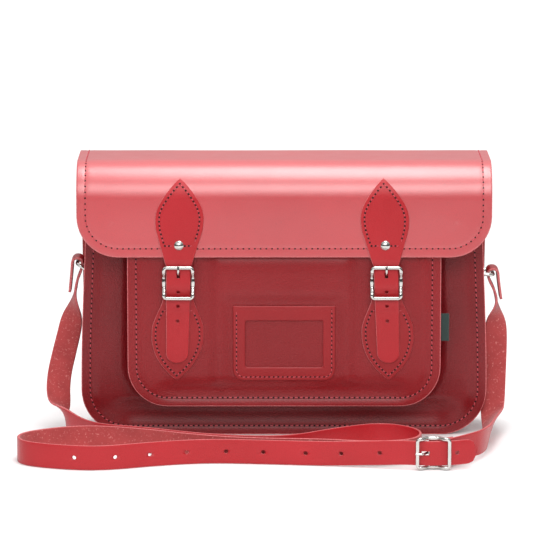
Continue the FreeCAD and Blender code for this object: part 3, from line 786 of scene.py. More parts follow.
def main_front(u, v, d):
    return (
        main_bulge(u, v, d)
        + 0.3 * wander(u, 0, v, 45, 5.1) * smoothstep(d, 9, 25) * smoothstep(from_pocket(u, v), 0, 9)
        - seam_dip(d)
    )


def main_back(u, v, d):
    return -LEATHER + main_bulge(u, v, d) * 0.9


def make_main_panel():
    panel = sheet_mesh(
        "main_panel_leather", *MAIN_OUTLINE, main_place, main_front, main_back,
        faced(BODY), step=4.0,
    )
    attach(panel, "bag")
    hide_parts("main_front_panel")
    path = outline_ring(*MAIN_OUTLINE, STITCH_INSET, 120, 100, 14)
    seam = stitches(
        "main_panel_stitches", [along_path(path, 4.2, closed=True)],
        lambda u, v, out: main_place(u, v, out - 0.2), "bag", keep=lambda u, v: v < 210,
    )
    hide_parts("main_panel_thread")


POCKET_OUTLINE = (129, 29.3, 168, [33, 0.6, 0.6, 33])


def pocket_place(u, v, out):
    return u, POCKET_Y - out, v


def under_fittings(u, v):
    """0 where the card holder or a chape lies on the pocket, 1 away from them."""
    card = max(abs(u) - 42, 51.5 - v, v - 113.8)
    away = smoothstep(card, 1, 12)
    for x in STRAP_X.values():
        away *= smoothstep(max(abs(u - x) - 22, 51.5 - v), 1, 12)
    return away


def pocket_bulge(u, v, d):
    below = smoothstep(52 - v, 0, 8) * smoothstep(118 - abs(u), 0, 30)
    crown = 2.6 * smoothstep(d, 8.2, 17) * under_fittings(u, v) * smoothstep(168 - v, 0, 25)
    return crown * (1 - below) - 2.7 * smoothstep(d, 0.5, 13) * below


def pocket_front(u, v, d):
    return (
        pocket_bulge(u, v, d)
        + 0.25 * wander(u, 1, v, 40, 8.8) * smoothstep(d, 9, 20) * under_fittings(u, v)
        - seam_dip(d)
    )


def pocket_back(u, v, d):
    return -2.0 + pocket_bulge(u, v, d) * 0.9


def make_pocket():
    panel = sheet_mesh(
        "pocket_leather", *POCKET_OUTLINE, pocket_place, pocket_front, pocket_back,
        faced(POCKET), step=3.6,
    )
    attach(panel, "bag")
    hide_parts("pocket_front_panel")
    path = outline_ring(*POCKET_OUTLINE, STITCH_INSET, 110, 60, 14)
    seam = stitches(
        "pocket_stitches", [along_path(path, 4.2, closed=True)],
        lambda u, v, out: pocket_place(u, v, out - 0.2), "bag",
        keep=lambda u, v: v < 158 and not any(abs(u - x) < 13 and v > 100 for x in STRAP_X.values()),
    )
    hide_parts("pocket_thread")


def gusset_line(reach, y_front, y_back, bend=2.4):
    """A section through the gusset: in along the front rim, across the wall, out along the back rim."""
    inner_x = bend - 1.0
    line = [(reach + (inner_x - reach) * k / 6, y_front) for k in range(6)]
    turn = [math.radians(18 * k) for k in range(6)]
    line += [(inner_x - bend * math.sin(a), y_front + bend * (1 - math.cos(a))) for a in turn]
    low, high = y_front + bend, y_back - bend
    line += [(-1.0, low + (high - low) * k / 18) for k in range(1, 18)]
    line += [(inner_x - bend * math.cos(a), high + bend * math.sin(a)) for a in turn]
    line += [(inner_x + (reach - inner_x) * k / 6, y_back) for k in range(1, 7)]
    return [Vector(p) for p in line]


def gusset_mesh(name, outer, inner, y_front, y_back, slump, material, nodes):
    """One strip for sides and base, turned out at both long edges into the rims that are sewn down."""
    sections = []
    wall = 2.0
    for (ox, oz), (wx, wz) in zip(outer, inner):
        out = Vector((ox - wx, oz - wz))
        reach = out.length
        out.normalize()
        path = gusset_line(reach, y_front + wall / 2, y_back - wall / 2)
        line = []
        for k, p in enumerate(path):
            a, b = path[max(k - 1, 0)], path[min(k + 1, len(path) - 1)]
            t = (b - a).normalized()
            n = Vector((-t.y, t.x))
            share = (p.y - y_front) / (y_back - y_front)
            sink = (
                slump * math.sin(math.pi * share) ** 2 * smoothstep(reach - p.x, reach - 2, reach)
                if reach > 0 else 0
            )
            sink *= 1 + 0.25 * wander(wx, p.y, wz, 60, 2.2)
            line.append((p, n, sink))
        ring = []
        for points, shift, mark in ((line, wall / 2, 1), (reversed(line), -wall / 2, 0)):
            for p, n, sink in points:
                q = p + n * shift
                ring.append(((wx + out.x * (q.x - sink), q.y, wz + out.y * (q.x - sink)), mark))
            ring[-1] = (ring[-1][0], 2)
        sections.append(ring)
    gusset = strip_mesh(name, sections, faced(material))
    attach(gusset, "bag")
    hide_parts(*nodes)


def u_shape(half, low, high, radius, taper=None, nu=70, nv=44, na=14):
    """Points down one side, along the base and up the other."""
    out = []
    for k in range(nv):
        out.append((-half, high + (low + radius - high) * k / nv))
    for k in range(na + 1):
        a = math.radians(180 + 90 * k / na)
        out.append((-half + radius + radius * math.cos(a), low + radius + radius * math.sin(a)))
    for k in range(1, nu):
        out.append(((-half + radius) + (2 * (half - radius)) * k / nu, low))
    for k in range(na + 1):
        a = math.radians(270 + 90 * k / na)
        out.append((half - radius + radius * math.cos(a), low + radius + radius * math.sin(a)))
    for k in range(1, nv + 1):
        out.append((half, low + radius + (high - low - radius) * k / nv))
    if taper:
        out = [(x * taper(z), z) for x, z in out]
    return out


def make_gussets():
    outer = u_shape(168.3, 0.2, 222, 38, lambda z: body_half(z) / 168.5)
    inner = u_shape(156, 9.5, 222, 30)
    gusset_mesh("main_gusset_leather", outer, inner, -9.2, 46.8, 1.6, BODY, ["main_gusset"])
    outer = u_shape(128.8, 29.5, 168, 33)
    inner = u_shape(119.5, 38.8, 168, 23.5)
    gusset_mesh("pocket_gusset_leather", outer, inner, -35.4, -11.4, 0.8, POCKET, ["pocket_gusset"])


make_main_panel()
make_pocket()
make_gussets()


# ---------------------------------------------------------------- card holder and label

CARD_OUTLINE = (42, 51.5, 113.8, [9, 0.8, 0.8, 9])


def frame_plate(name, y_back, thick, materials):
    """The card holder's frame, thick at its cut edges and open in the middle."""
    nu, nv, na = 22, 16, 8
    outer = outline_ring(*CARD_OUTLINE, 0, nu, nv, na)
    window = outline_ring(32, 62.3, 101.5, [1.6] * 4, 0, nu, nv, na)
    shares = [0, 0.03, 0.08, 0.18, 0.28, 0.36, 0.5, 0.7, 0.88, 0.95, 1]
    rings = [
        [(a[0] + (b[0] - a[0]) * t, a[1] + (b[1] - a[1]) * t) for a, b in zip(outer, window)]
        for t in shares
    ]
    count = len(outer)
    verts, faces, marks = [], [], []
    for side in (0, 1):
        for t, ring in zip(shares, rings):
            d = min(t, 1 - t) * 10
            for u, v in ring:
                out = (
                    thick - edge_round(d) * 0.8 - seam_dip(d if t < 0.5 else 9, 2.8, 0.9, 0.2)
                    if side == 0 else edge_round(d) * 0.3
                )
                if v > 104:
                    out += 0.5 * smoothstep(v, 104, 113.8) * (1 - smoothstep(abs(u), 20, 40))
                verts.append((u, y_back - out, v))
    layer = len(shares) * count
    for side in (0, 1):
        for r in range(len(shares) - 1):
            for i in range(count):
                k = (i + 1) % count
                a, b = side * layer + r * count, side * layer + (r + 1) * count
                faces.append((a + i, a + k, b + k, b + i))
                marks.append(side)
    for r in (0, len(shares) - 1):
        for i in range(count):
            k = (i + 1) % count
            faces.append((r * count + i, r * count + k, layer + r * count + k, layer + r * count + i))
            marks.append(2)
    return build(name, verts, faces, materials, marks)


def make_card_holder():
    plate = frame_plate("card_holder_leather", POCKET_Y + 0.05, 1.65, faced(CHAPE))
    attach(plate, "bag")
    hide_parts("name_card_holder")
    path = outline_ring(*CARD_OUTLINE, 2.8, 24, 18, 8)
    place = lambda u, v, out: (u, POCKET_Y - 1.6 + 0.17 - out, v)
    seam = stitches(
        "card_holder_stitches", [along_path(path, 3.8, closed=True)], place, "bag", size=0.85,
        keep=lambda u, v: v < 110.2,
    )
    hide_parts("card_holder_thread")


def make_label():
    """Folded woven tag caught in the side seam, left blank."""
    sections = []
    for j in range(13):
        z = 84 + 23 * j / 12
        ring = []
        for x, y in (
            (123.2, -35.32), (129, -35.36), (133.5, -35.42), (135.6, -35.36), (135.9, -35.12),
            (135.6, -34.88), (133.5, -34.84), (129, -34.9), (123.2, -34.94),
        ):
            ring.append(((x, y + 0.12 * math.sin(z * 0.5) * smoothstep(x, 129, 134), z), 0))
        sections.append(ring)
    label = strip_mesh("side_label_tape", sections, [LABEL])
    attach(label, "bag")
    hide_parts("blank_side_label")


make_card_holder()
make_label()


# ---------------------------------------------------------------- closure straps and chapes

def curve_through(keys, x):
    """Smooth value between (x, value) keys, without overshoot."""
    xs = [k[0] for k in keys]
    ys = [k[1] for k in keys]
    if x <= xs[0]:
        return ys[0]
    if x >= xs[-1]:
        return ys[-1]
    slopes = [(ys[i + 1] - ys[i]) / (xs[i + 1] - xs[i]) for i in range(len(xs) - 1)]
    tangents = [slopes[0]]
    for a, b in zip(slopes, slopes[1:]):
        tangents.append(0.0 if a * b <= 0 else 2 * a * b / (a + b))
    tangents.append(slopes[-1])
    i = max(k for k in range(len(xs) - 1) if xs[k] <= x)
    h = xs[i + 1] - xs[i]
    t = (x - xs[i]) / h
    return (
        (2 * t ** 3 - 3 * t ** 2 + 1) * ys[i] + (t ** 3 - 2 * t ** 2 + t) * h * tangents[i]
        + (3 * t ** 2 - 2 * t ** 3) * ys[i + 1] + (t ** 3 - t ** 2) * h * tangents[i + 1]
    )


def leaned(x, lean, z):
    """Where the middle of a strap that hangs a little off upright is at height z."""
    return x + lean * (z - BAR_Z)


def leaf_mesh(name, x, lean, profile, stations, thick, materials, bow=0.0):
    """A strap that widens into leaves: stations are (length along the profile, half width)."""
    sections = []
    for s, half in stations:
        half = max(half, 0.12)
        ring = []
        for across, out, mark in band_section(half, thick):
            shrink = 1.0 if half > 1.5 else 0.4 + 0.4 * half
            crown = bow * (1 - (across / half) ** 2) if half > 3 else 0
            y, z = profile.at(s, out * shrink + (crown if out > 0 else 0))
            ring.append(((leaned(x, lean, z) + across, y, z), mark))
        sections.append(ring)
    return strip_mesh(name, sections, materials)


LEAF_KEYS = [
    (134, 10.0), (146.5, 10.0), (150, 11.0), (154, 12.3), (162, 14.6), (171, 17.3), (179, 19.4),
    (187, 20.0), (193, 19.2), (200, 16.4), (207, 12.0), (213, 7.2), (217.5, 2.9), (220, 0.0),
]
CHAPE_KEYS = [
    (51.5, 0.0), (54, 3.2), (58, 7.6), (64, 12.8), (71, 17.2), (79, 20.2), (87, 21.5), (95, 21.3),
    (103, 18.9), (111, 15.5), (117, 13.2), (119.5, 12.4), (121, 9.6), (130, 9.5), (150, 9.5),
]


def leaf_path(tip_z, end_z, x, keys, inset):
    """Outline of a leaf moved in by inset, from the strap round the tip and back, as (x, z) points."""
    sign = 1 if tip_z > end_z else -1
    side = []
    z = end_z
    while (tip_z - z) * sign > 0.2:
        side.append((curve_through(keys, z), z))
        z += sign * 0.8
    side.append((0.0, tip_z))
    moved = []
    for i, (w, z) in enumerate(side[:-1]):
        a, b = side[max(i - 1, 0)], side[i + 1]
        t = Vector((b[0] - a[0], b[1] - a[1])).normalized()
        n = Vector((-t.y, t.x)) * sign
        p = Vector((w, z)) + n * inset
        if p.x > 0.35:
            moved.append(p)
    tip = moved[-1]
    moved.append(Vector((0.0, tip.y + sign * 0.9)))
    right = [(x + p.x, p.y) for p in moved]
    left = [(x - p.x, p.y) for p in reversed(moved[:-1])]
    return right + left


def closure_profile():
    half = 0.9
    leaf_y = FLAP_Y - half
    over_bar = BAR_Y - 1.3 - 0.1 - 1.5 - half - 0.3
    behind = BAR_Y - 3.3
    on_leaf = POCKET_Y - 3.0 - half - 0.2
    radius = 28 + LEATHER / 2 + half
    centre_y, centre_z = FLAP_Y + LEATHER / 2 + 28, TOP_Z - LEATHER / 2 - 28
    points = [
        (centre_y, centre_z + radius), (centre_y - radius, centre_z + radius), (leaf_y, BAR_Z + 18.5),
        (behind, BAR_Z + 15.5), (behind, BAR_Z + 10.5), (over_bar, BAR_Z + 4), (over_bar, BAR_Z - 4.2),
        (on_leaf, BAR_Z - 11), (on_leaf, BAR_Z - 18.8), (on_leaf + 1.5, BAR_Z - 24.5), (on_leaf + 1.5, 66.5),
    ]
    return Profile(points, {1: radius})


def make_closure(side, x, lean):
    profile = closure_profile()
    top_s = max(float(s) for s, p in zip(profile.s, profile.path) if p[1] > 219.9 and p[0] > -44)
    stations = []
    s = top_s
    while s < profile.length:
        y, z = profile.at(s)
        half = curve_through(LEAF_KEYS, z) if z > BAR_Z else 10.0 - 0.8 * smoothstep(BAR_Z - z, 0, 68)
        left = profile.length - s
        if left < 9:
            half = min(half, 0.5 + math.sqrt(max(0.0, 81 - (9 - left) ** 2)))
        stations.append((s, half))
        s += 0.35 if (s < top_s + 6 or left < 4) else 0.9
    stations.append((profile.length, 0.5))
    strap = leaf_mesh(
        side + "_closure_leather", x, lean, profile, stations, 1.8, faced(STRAP), bow=0.15,
    )
    cutters = []
    for z in (126.5, 114.5, 102.0):
        s = next(float(a) for a, p in zip(profile.s, profile.path) if p[1] < z)
        y, z_at = profile.at(s)
        cutters.append(rod_cutter((leaned(x, lean, z_at), y, z_at), (0, 1, 0), 1.45, 3, faced(STRAP)))
    cutters.append(box_cutter(x - 1.3, x + 1.3, -60, -30, BAR_Z + 4.0, BAR_Z + 8.4, faced(STRAP)))
    cut_away(strap, cutters)
    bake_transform(strap)
    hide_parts(side + "_closure_strap")

    def place(u, v, out):
        s = float(np.interp(-v, -profile.path[:, 1], profile.s))
        y, z = profile.at(s, 0.9 + 0.12 + out)
        return u + lean * (v - BAR_Z), y, z

    path = leaf_path(220, 166.8, x, LEAF_KEYS, 3.5)
    bottom = [(x + 11.4 - 22.8 * k / 7, 165.0) for k in range(8)]
    rows = [along_path(path, 3.6), along_path(bottom, 3.4)]
    seam = stitches(
        side + "_leaf_stitches", rows, place, size=0.9, fill=0.6, hole=0.86,
        keep=lambda u, v: not (v < 168 and abs(u - x) < 5.8),
    )
    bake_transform(seam)


def make_chape(side, x, lean):
    half = 0.75
    flat = POCKET_Y - half
    lifted = flat - 1.5 - 0.03
    front = BAR_Y - 1.3 - 0.1 - half
    crown = BAR_Z + 1.3 + 0.1 + half
    profile = Profile([
        (flat, 51.5), (flat, BAR_Z - 22.5), (lifted, BAR_Z - 18.5), (lifted, BAR_Z - 10.5),
        (front, BAR_Z - 4.5), (front, crown), (flat, crown), (flat, BAR_Z - 15),
    ], flip=True)
    crown_s = profile.nearest(flat, crown - 0.6)
    stations = []
    s = 0.0
    while s < profile.length:
        y, z = profile.at(s)
        wide = curve_through(CHAPE_KEYS, z) if s < crown_s else 9.5
        stations.append((s, wide))
        s += 0.4 if s < 6 else (0.9 if s < 60 else 0.5)
    stations.append((profile.length, 9.5))
    mats = faced(CHAPE)
    chape = leaf_mesh(side + "_chape_leather", x, lean, profile, stations, 1.5, mats)
    cut_away(chape, [box_cutter(x - 2.2, x + 2.2, -49.4, -36.5, BAR_Z - 5.5, BAR_Z + 8, mats)])
    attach(chape, "bag")
    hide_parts(side + "_buckle_chape")

    def place(u, v, out):
        s = float(np.interp(v, profile.path[:120, 1], profile.s[:120]))
        y, z = profile.at(s, half + out + 0.02)
        return u + lean * (v - BAR_Z), y, z

    path = leaf_path(51.5, 110.5, x, CHAPE_KEYS, 3.4)
    rows = [along_path(path, 3.6)]
    for sign in (-1, 1):
        rows.append(along_path([(x + sign * (12.4 - 1.6 * k), 110.0) for k in range(3)], 3.2))
    stitches(
        side + "_chape_stitches", rows, place, "bag", size=0.9, fill=0.6, hole=0.86,
        keep=lambda u, v: abs(u - x) > 10.2 or v < 66,
    )


for side, x in STRAP_X.items():
    make_closure(side, x, STRAP_LEAN[side])
    make_chape(side, x, STRAP_LEAN[side])


# ---------------------------------------------------------------- buckles and rings

def sweep(path, section, closed=True, frames=None):
    """Rings of points: section(i, n) gives (a, b) points in the plane across the path."""
    rings = []
    count = len(path)
    for i, p in enumerate(path):
        p = Vector(p)
        if closed:
            t = (Vector(path[(i + 1) % count]) - Vector(path[i - 1])).normalized()
        else:
            t = (Vector(path[min(i + 1, count - 1)]) - Vector(path[max(i - 1, 0)])).normalized()
        side = frames(i, t)
        side = (side - t * side.dot(t)).normalized()
        up = t.cross(side)
        rings.append([(tuple(p + side * a + up * b), 0) for a, b in section(i)])
    return rings


def soft_box(w, h, r=0.75, n=4):
    """Rounded rectangle of w by h about its centre."""
    out = []
    for k, (sx, sy) in enumerate(((1, 1), (-1, 1), (-1, -1), (1, -1))):
        for j in range(n + 1):
            a = math.radians(90 * k + 90 * j / n)
            out.append((sx * (w / 2 - r) + r * math.cos(a), sy * (h / 2 - r) + r * math.sin(a)))
    return out


def lathed(outline, count):
    """Rings about the x axis for (x, radius) pairs."""
    return [[((x, r * math.cos(a), r * math.sin(a)), 0) for a in turn_angles(count)] for x, r in outline]


def joined(parts, move):
    """Several closed ring lists in one piece: parts are (rings, closed)."""
    verts, faces = [], []
    for rings, closed in parts:
        start = len(verts)
        count = len(rings[0])
        verts += [move(p) for ring in rings for p, _ in ring]
        rows = len(rings) if closed else len(rings) - 1
        for r in range(rows):
            a, b = start + r * count, start + ((r + 1) % len(rings)) * count
            for i in range(count):
                k = (i + 1) % count
                faces.append((a + i, a + k, b + k, b + i))
        if not closed:
            faces.append(tuple(start + i for i in range(count)))
            faces.append(tuple(start + (len(rings) - 1) * count + i for i in reversed(range(count))))
    return verts, faces


def arch_y(z, far):
    near = -2.1
    return near + (far - near) * smoothstep(abs(z), 3.6, 9.9)


def frame_parts(far):
    """Centre-bar buckle about its bar: x along the bar, z along the strap, -y to the front."""
    ring = outline_ring(11.8, -12.75, 12.75, [2.4] * 4, 0, 16, 22, 6)
    path = [(x, arch_y(z, far), z) for x, z in ring]
    outer = [Vector((x, 0, z)) for x, z in ring]

    def section(i):
        z = abs(ring[i][1])
        swell = 1 + 0.16 * (1 - smoothstep(z, 1.2, 3.4)) if abs(ring[i][0]) > 11 else 1
        return soft_box(2.9 * swell, 2.6 * swell, 0.95)

    def across(i, t):
        return (
            Vector((outer[i].x, 0, outer[i].z * 0.55)) if abs(outer[i].z) < 12
            else Vector((outer[i].x * 0.2, 0, outer[i].z))
        )

    frame_rings = sweep(path, section, True, across)
    bar = lathed(
        ((-12.4, 0.5), (-12.2, 1.1), (-11.6, 1.3), (0, 1.3), (11.6, 1.3), (12.2, 1.1), (12.4, 0.5)), 20,
    )
    return [(frame_rings, True), (bar, False)]


def tongue_parts(far):
    rest = far - 1.3 - 0.8 - 0.05
    keys = [
        (0, -1.9, 1.0), (0, -2.15, 3.0), (0, -2.5, 4.8), (0, rest + 0.8, 8.2), (0, rest, 10.6),
        (0, rest, 12.6), (0, rest + 0.05, 14.6),
    ]
    path = []
    for i in range(len(keys) - 1):
        a, b = Vector(keys[max(i - 1, 0)]), Vector(keys[i])
        c, d = Vector(keys[i + 1]), Vector(keys[min(i + 2, len(keys) - 1)])
        for k in range(5):
            t = k / 5
            path.append(tuple(0.5 * (
                2 * b + (c - a) * t
                + (2 * a - 5 * b + 4 * c - d) * t ** 2 + (3 * b - a - 3 * c + d) * t ** 3
            )))
    path.append(keys[-1])
    count = len(path)

    def section(i):
        share = i / (count - 1)
        r = 0.95 - 0.2 * share
        left = (count - 1 - i) * 0.5
        if left < 0.8:
            r *= math.sqrt(max(0.06, 1 - (1 - left / 0.8) ** 2))
        return [(r * 1.1 * math.cos(a), r * 0.82 * math.sin(a)) for a in turn_angles(14)]

    needle = sweep(path, section, False, lambda i, t: Vector((1, 0, 0)))
    sleeve = lathed((
        (-0.95, 1.45), (-0.95, 2.2), (-0.7, 2.45), (0.7, 2.45),
        (0.95, 2.2), (0.95, 1.45), (0.95, 1.37), (-0.95, 1.37),
    ), 28)
    return [(needle, False), (sleeve, True)]


def place_fitting(name, parts, x, y, z, flat, body, node):
    def move(p):
        if flat:
            return x - p[2], y + p[1], z + p[0]
        return x + p[0], y + p[1], z + p[2]
    verts, faces = joined(parts, move)
    obj = build(name, verts, faces, [NICKEL])
    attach(obj, body)
    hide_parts(node)
    return obj


for side, x in STRAP_X.items():
    place_fitting(
        side + "_buckle", frame_parts(-5.8), x, BAR_Y, BAR_Z, False, side + "_buckle",
        side + "_buckle_frame",
    )
    place_fitting(
        side + "_tongue", tongue_parts(-5.8), x, BAR_Y, BAR_Z, False, side + "_tongue",
        side + "_buckle_tongue",
    )
carry_frame = place_fitting(
    "shoulder_buckle", frame_parts(-6.5), *CARRY_BAR, True, "bag",
    "shoulder_buckle_frame",
)
carry_tongue = place_fitting(
    "shoulder_tongue", tongue_parts(-6.5), *CARRY_BAR, True, "shoulder_tongue",
    "shoulder_buckle_tongue",
)


def make_ring_chape(side, sign):
    half = 0.9
    inner = 156 + half
    ring_x = 156 + 1.8 + 1.5 + 0.08
    outer = ring_x + 1.5 + 0.08 + half
    base = 133 - 1.5 - 0.08 - half
    path = rounded_path(
        [(inner, 182), (inner, base), (outer, base), (outer, 135), (inner + 1.82, 143), (inner + 1.82, 182)],
        step=1.2,
    )
    sections = []
    for k, p in enumerate(path):
        a, b = path[max(k - 1, 0)], path[min(k + 1, len(path) - 1)]
        t = (b - a).normalized()
        n = Vector((t.y, -t.x)) * -1
        ring = []
        left = min(k, len(path) - 1 - k) * 1.2
        wide = 9.5 if left > 4 else 9.5 - 2.2 * (1 - left / 4) ** 2
        for across, out, mark in band_section(wide, 1.8):
            q = p - n * out
            ring.append(((sign * q.x, RING_Y + across, q.y), mark))
        sections.append(ring)
    mats = faced(CHAPE)
    chape = strip_mesh(side + "_ring_chape_leather", sections, mats)
    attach(chape, "bag")
    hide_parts(side + "_ring_chape")


for side, sign in (("left", -1), ("right", 1)):
    make_ring_chape(side, sign)
for name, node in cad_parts.items():
    if "rivet" in name or "d_ring" in name:
        node.data.materials.clear()
        node.data.materials.append(NICKEL)


# ---------------------------------------------------------------- shoulder strap

# The route's points in metres, each with the direction of the strap's width there
LEFT_TOP = [
    (-0.17870, 0.0188, 0.11645), (-0.17670, 0.0188, 0.13495), (-0.17620, 0.0188, 0.14525),
    (-0.16800, 0.0188, 0.14525),
    (-0.16800, 0.0188, 0.13695), (-0.17290, 0.0188, 0.12545), (-0.17470, 0.0188, 0.11195),
]
LEFT_RISER = [
    ((-0.178, 0.016, 0.088), (-1, 0.25, 0)), ((-0.183, 0.009, 0.068), (-1, 0, 0)),
    ((-0.188, 0, 0.047), (-1, 0, 0.1)),
    ((-0.188, -0.010, 0.029), (-0.75, 0.1, 0.6)), ((-0.180, -0.024, 0.015), (-0.25, 0.1, 1)),
]
FLOOR_RUN = [
    (-0.168, -0.040), (-0.151, -0.062), (-0.116, -0.0725), (-0.062, -0.1005), (-0.020, -0.1075),
    (0.010, -0.103),
    (0.042, -0.076), (0.082, -0.054), (0.113, -0.082), (0.107, -0.119), (0.070, -0.1275), (0.030, -0.117),
    (-0.020, -0.1148), (-0.062, -0.1055), (-0.118, -0.0775), (-0.158, -0.066), (-0.190, -0.076),
    (-0.216, -0.096),
    (-0.214, -0.124), (-0.186, -0.139), (-0.148, -0.147), (-0.100, -0.127), (-0.060, -0.118),
    (-0.018, -0.1222),
    (0.034, -0.1285),
]
END_RUN = [
    (0.066, -0.1338, 0.0117), (0.096, -0.1393, 0.0134), (0.103, -0.1412, 0.0134), (0.1095, -0.1418, 0.0134),
    (0.1145, -0.1428, 0.0134), (0.1235, -0.1428, 0.0134), (0.1285, -0.1418, 0.0134), (0.136, -0.1410, 0.0134),
    (0.1545, -0.1326, 0.0134),
]
LONG_ROUTE = [(p, (0, 1, 0)) for p in LEFT_TOP] + LEFT_RISER
LONG_ROUTE += [((x, y, 0.010), (0, 0, 1)) for x, y in FLOOR_RUN] + [(p, (0, 0, 1)) for p in END_RUN]

RIGHT_TOP = [
    (0.18132, 0.0188, 0.11069), (0.17892, 0.0188, 0.12669), (0.17842, 0.0188, 0.13599),
    (0.17022, 0.0188, 0.13599),
    (0.17022, 0.0188, 0.12819), (0.17632, 0.0188, 0.11719), (0.17822, 0.0188, 0.10569),
]
RIGHT_RISER = [
    ((0.1775, 0.016, 0.088), (0.9, 0.4, 0)), ((0.1765, 0.010, 0.066), (1, 0, 0)),
    ((0.1755, 0.005, 0.045), (1, 0, 0)),
    ((0.1745, -0.002, 0.027), (1, 0, 0.15)), ((0.173, -0.014, 0.0155), (0.8, -0.1, 0.6)),
    ((0.1705, -0.040, 0.012), (0.45, 0, 0.9)), ((0.168, -0.070, 0.0126), (0.2, 0, 1)),
]
SHORT_RUN = [
    (0.161, -0.099), (0.150, -0.113), (0.137, -0.1275), (0.1275, -0.138), (0.1238, -0.14055),
    (0.11645, -0.14055),
    (0.11645, -0.13545), (0.1223, -0.13545), (0.1352, -0.1259),
]
SHORT_ROUTE = [(p, (0, 1, 0)) for p in RIGHT_TOP] + RIGHT_RISER
SHORT_ROUTE += [((x, y, 0.0134), (0, 0, 1)) for x, y in SHORT_RUN]


def spline_line(points, resolution=10):
    """The smooth line that a NURBS curve draws for these control points."""
    curve = bpy.data.curves.new("route", "CURVE")
    curve.dimensions = "3D"
    curve.resolution_u = resolution
    spline = curve.splines.new("NURBS")
    spline.points.add(len(points) - 1)
    for target, p in zip(spline.points, points):
        target.co = (*p, 1)
    spline.order_u = 3
    spline.use_endpoint_u = True
    holder = bpy.data.objects.new("route", curve)
    bpy.context.scene.collection.objects.link(holder)
    graph = bpy.context.evaluated_depsgraph_get()
    mesh = bpy.data.meshes.new_from_object(holder.evaluated_get(graph))
    line = [v.co.copy() for v in mesh.vertices]
    bpy.data.objects.remove(holder)
    bpy.data.meshes.remove(mesh)
    bpy.data.curves.remove(curve)
    return line


def strap_line(route):
    """Centres and width directions along a route, a second line one unit to the side giving the twist."""
    centre = spline_line([p for p, _ in route])
    edge = spline_line([tuple(Vector(p) + Vector(e).normalized() * 0.01) for p, e in route])
    return centre, [(b - a).normalized() for a, b in zip(centre, edge)]


def strap_mesh(name, route, flip, half_at):
    centre, wide = strap_line(route)
    lengths = [0.0]
    for a, b in zip(centre, centre[1:]):
        lengths.append(lengths[-1] + (b - a).length)
    total = lengths[-1]
    sections, kept = [], []
    last = -1.0
    for i, p in enumerate(centre):
        if 0 < i < len(centre) - 1 and lengths[i] - last < 0.0003:
            continue
        last = lengths[i]
        a, b = centre[max(i - 1, 0)], centre[min(i + 1, len(centre) - 1)]
        t = (b - a).normalized()
        w = (wide[i] - t * wide[i].dot(t)).normalized()
        n = t.cross(w) * (-1 if flip else 1)
        half = half_at(lengths[i] / MM, (total - lengths[i]) / MM)
        ring = [
            (tuple((p / MM) + w * across + n * out), mark)
            for across, out, mark in band_section(half, 2.2)
        ]
        sections.append(ring)
        kept.append((p.copy(), t, w, n, lengths[i]))
    return strip_mesh(name, sections, faced(STRAP)), kept, total


def nearest_on(line, x, y, low_z=0.03):
    return min((k for k in line if k[0].z < low_z), key=lambda k: (k[0].x - x) ** 2 + (k[0].y - y) ** 2)


def at_length(line, s):
    return min(line, key=lambda k: abs(k[4] - s))


def make_long_strap():
    def half_at(s, left):
        if left < 9:
            return 0.8 + math.sqrt(max(0.0, 81 - (9 - left) ** 2))
        return 10.0 if s > 3 else 9.3 + 0.7 * (s / 3)

    strap, line, total = strap_mesh("shoulder_strap_punched", LONG_ROUTE, False, half_at)
    mats = faced(STRAP)
    anchor = nearest_on(line, 0.034, -0.1285)
    spots = [at_length(line, anchor[4] - (0.0197 + k * 0.031)) for k in range(7)]
    spots += [nearest_on(line, x, -0.135) for x in (0.0463, 0.078, 0.1365)]
    cutters = [rod_cutter(tuple(p / MM), tuple(n), 1.7, 3.5, mats) for p, t, w, n, s in spots]
    x, y, z = CARRY_BAR
    cutters.append(box_cutter(x - 9.4, x - 3.0, y - 8, y - 2, z - 1.7, z + 1.7, mats))
    cut_away(strap, cutters)
    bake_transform(strap)
    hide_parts("shoulder_strap_long")
    [tuple(k[0]) for k in line]


def make_short_strap():
    strap, line, total = strap_mesh("shoulder_strap_buckled", SHORT_ROUTE, True, lambda s, left: 10.0)
    mats = faced(STRAP)
    x, y, z = CARRY_BAR
    cut_away(strap, [box_cutter(x - 6, x + 5.5, y - 6, y + 6, z - 2.2, z + 2.2, mats)])
    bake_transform(strap)
    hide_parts("shoulder_strap_short")
    [tuple(k[0]) for k in line]


make_long_strap()
make_short_strap()


# ---------------------------------------------------------------- studio

def make_floor():
    n = Nodes("floor_white")
    colour = n.mix(n.ramp(n.noise(2.0, 2.0), 0.3, 0.7), (0.96, 0.96, 0.96), (0.94, 0.94, 0.94))
    n.link(colour, n.shader.inputs["Base Color"])
    n.set(Roughness=0.7, Specular_IOR_Level=0.3)
    radius, sides = 1.05, 64
    ring = [(radius * math.cos(a), radius * math.sin(a), -0.0002) for a in turn_angles(sides)]
    mesh = bpy.data.meshes.new("floor")
    mesh.from_pydata(ring, [], [tuple(range(sides))])
    mesh.materials.append(n.material)
    floor = bpy.data.objects.new("floor", mesh)
    bpy.context.scene.collection.objects.link(floor)


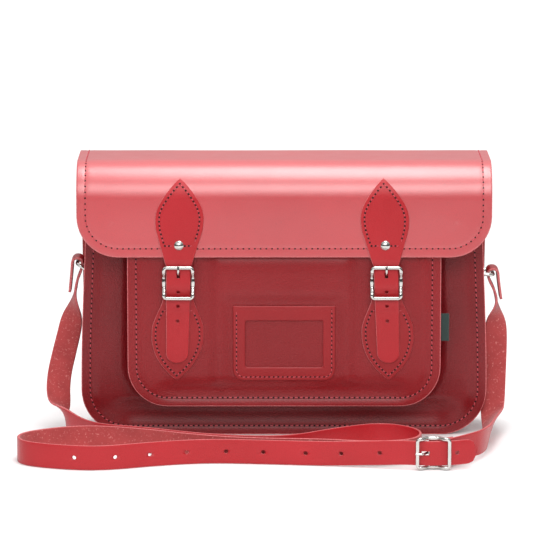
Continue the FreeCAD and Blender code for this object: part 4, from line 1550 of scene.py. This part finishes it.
def make_light(name, location, target, width, height, power):
    data = bpy.data.lights.new(name, "AREA")
    data.shape = "RECTANGLE"
    data.size, data.size_y = width, height
    data.energy = power
    light = bpy.data.objects.new(name, data)
    light.location = location
    light.rotation_euler = (Vector(target) - Vector(location)).to_track_quat("-Z", "Y").to_euler()
    bpy.context.scene.collection.objects.link(light)


def make_world():
    """Bright overhead and a little light from behind, over a dark camera side.

    The camera itself sees plain white past the floor's edge.
    """
    world = bpy.data.worlds.new("studio")
    world.use_nodes = True
    tree = world.node_tree
    back = tree.nodes["Background"]

    def math_node(kind, a, b):
        node = tree.nodes.new("ShaderNodeMath")
        node.operation = kind
        for socket, value in zip(node.inputs, (a, b)):
            if hasattr(value, "links"):
                tree.links.new(value, socket)
            else:
                socket.default_value = value
        return node.outputs[0]

    where = tree.nodes.new("ShaderNodeTexCoord").outputs["Generated"]
    split = tree.nodes.new("ShaderNodeSeparateXYZ")
    tree.links.new(where, split.inputs[0])
    overhead = math_node("MULTIPLY", math_node("MAXIMUM", split.outputs["Z"], 0.0), WORLD_TOP)
    behind = math_node("MULTIPLY", math_node("MAXIMUM", split.outputs["Y"], 0.0), WORLD_BACK)
    glow = math_node("ADD", math_node("ADD", overhead, behind), WORLD_BASE)
    seen = tree.nodes.new("ShaderNodeLightPath").outputs["Is Camera Ray"]
    strength = math_node("MAXIMUM", glow, math_node("MULTIPLY", seen, 1.1))
    tree.links.new(strength, back.inputs["Strength"])
    back.inputs["Color"].default_value = (1, 1, 1, 1)
    bpy.context.scene.world = world


WORLD_BASE, WORLD_TOP, WORLD_BACK = 0.04, 1.05, 0.3
make_floor()
make_light("softbox_top", (0.10, -0.12, 1.35), (0.06, 0, 0.2), 0.60, 0.9, 10.5)
make_light("softbox_front_left", (-1.5, -2.0, 1.3), (0, 0, 0.12), 0.9, 0.9, 5)
make_light("softbox_low", (-0.1, -2.4, 0.9), (0, 0, 0.06), 1.6, 0.4, 5.5)
make_light("softbox_front", (0.2, -2.05, 1.45), (0, 0, 0.1), 1.4, 0.8, 21)
make_world()
bpy.context.scene.view_settings.view_transform = "Standard"
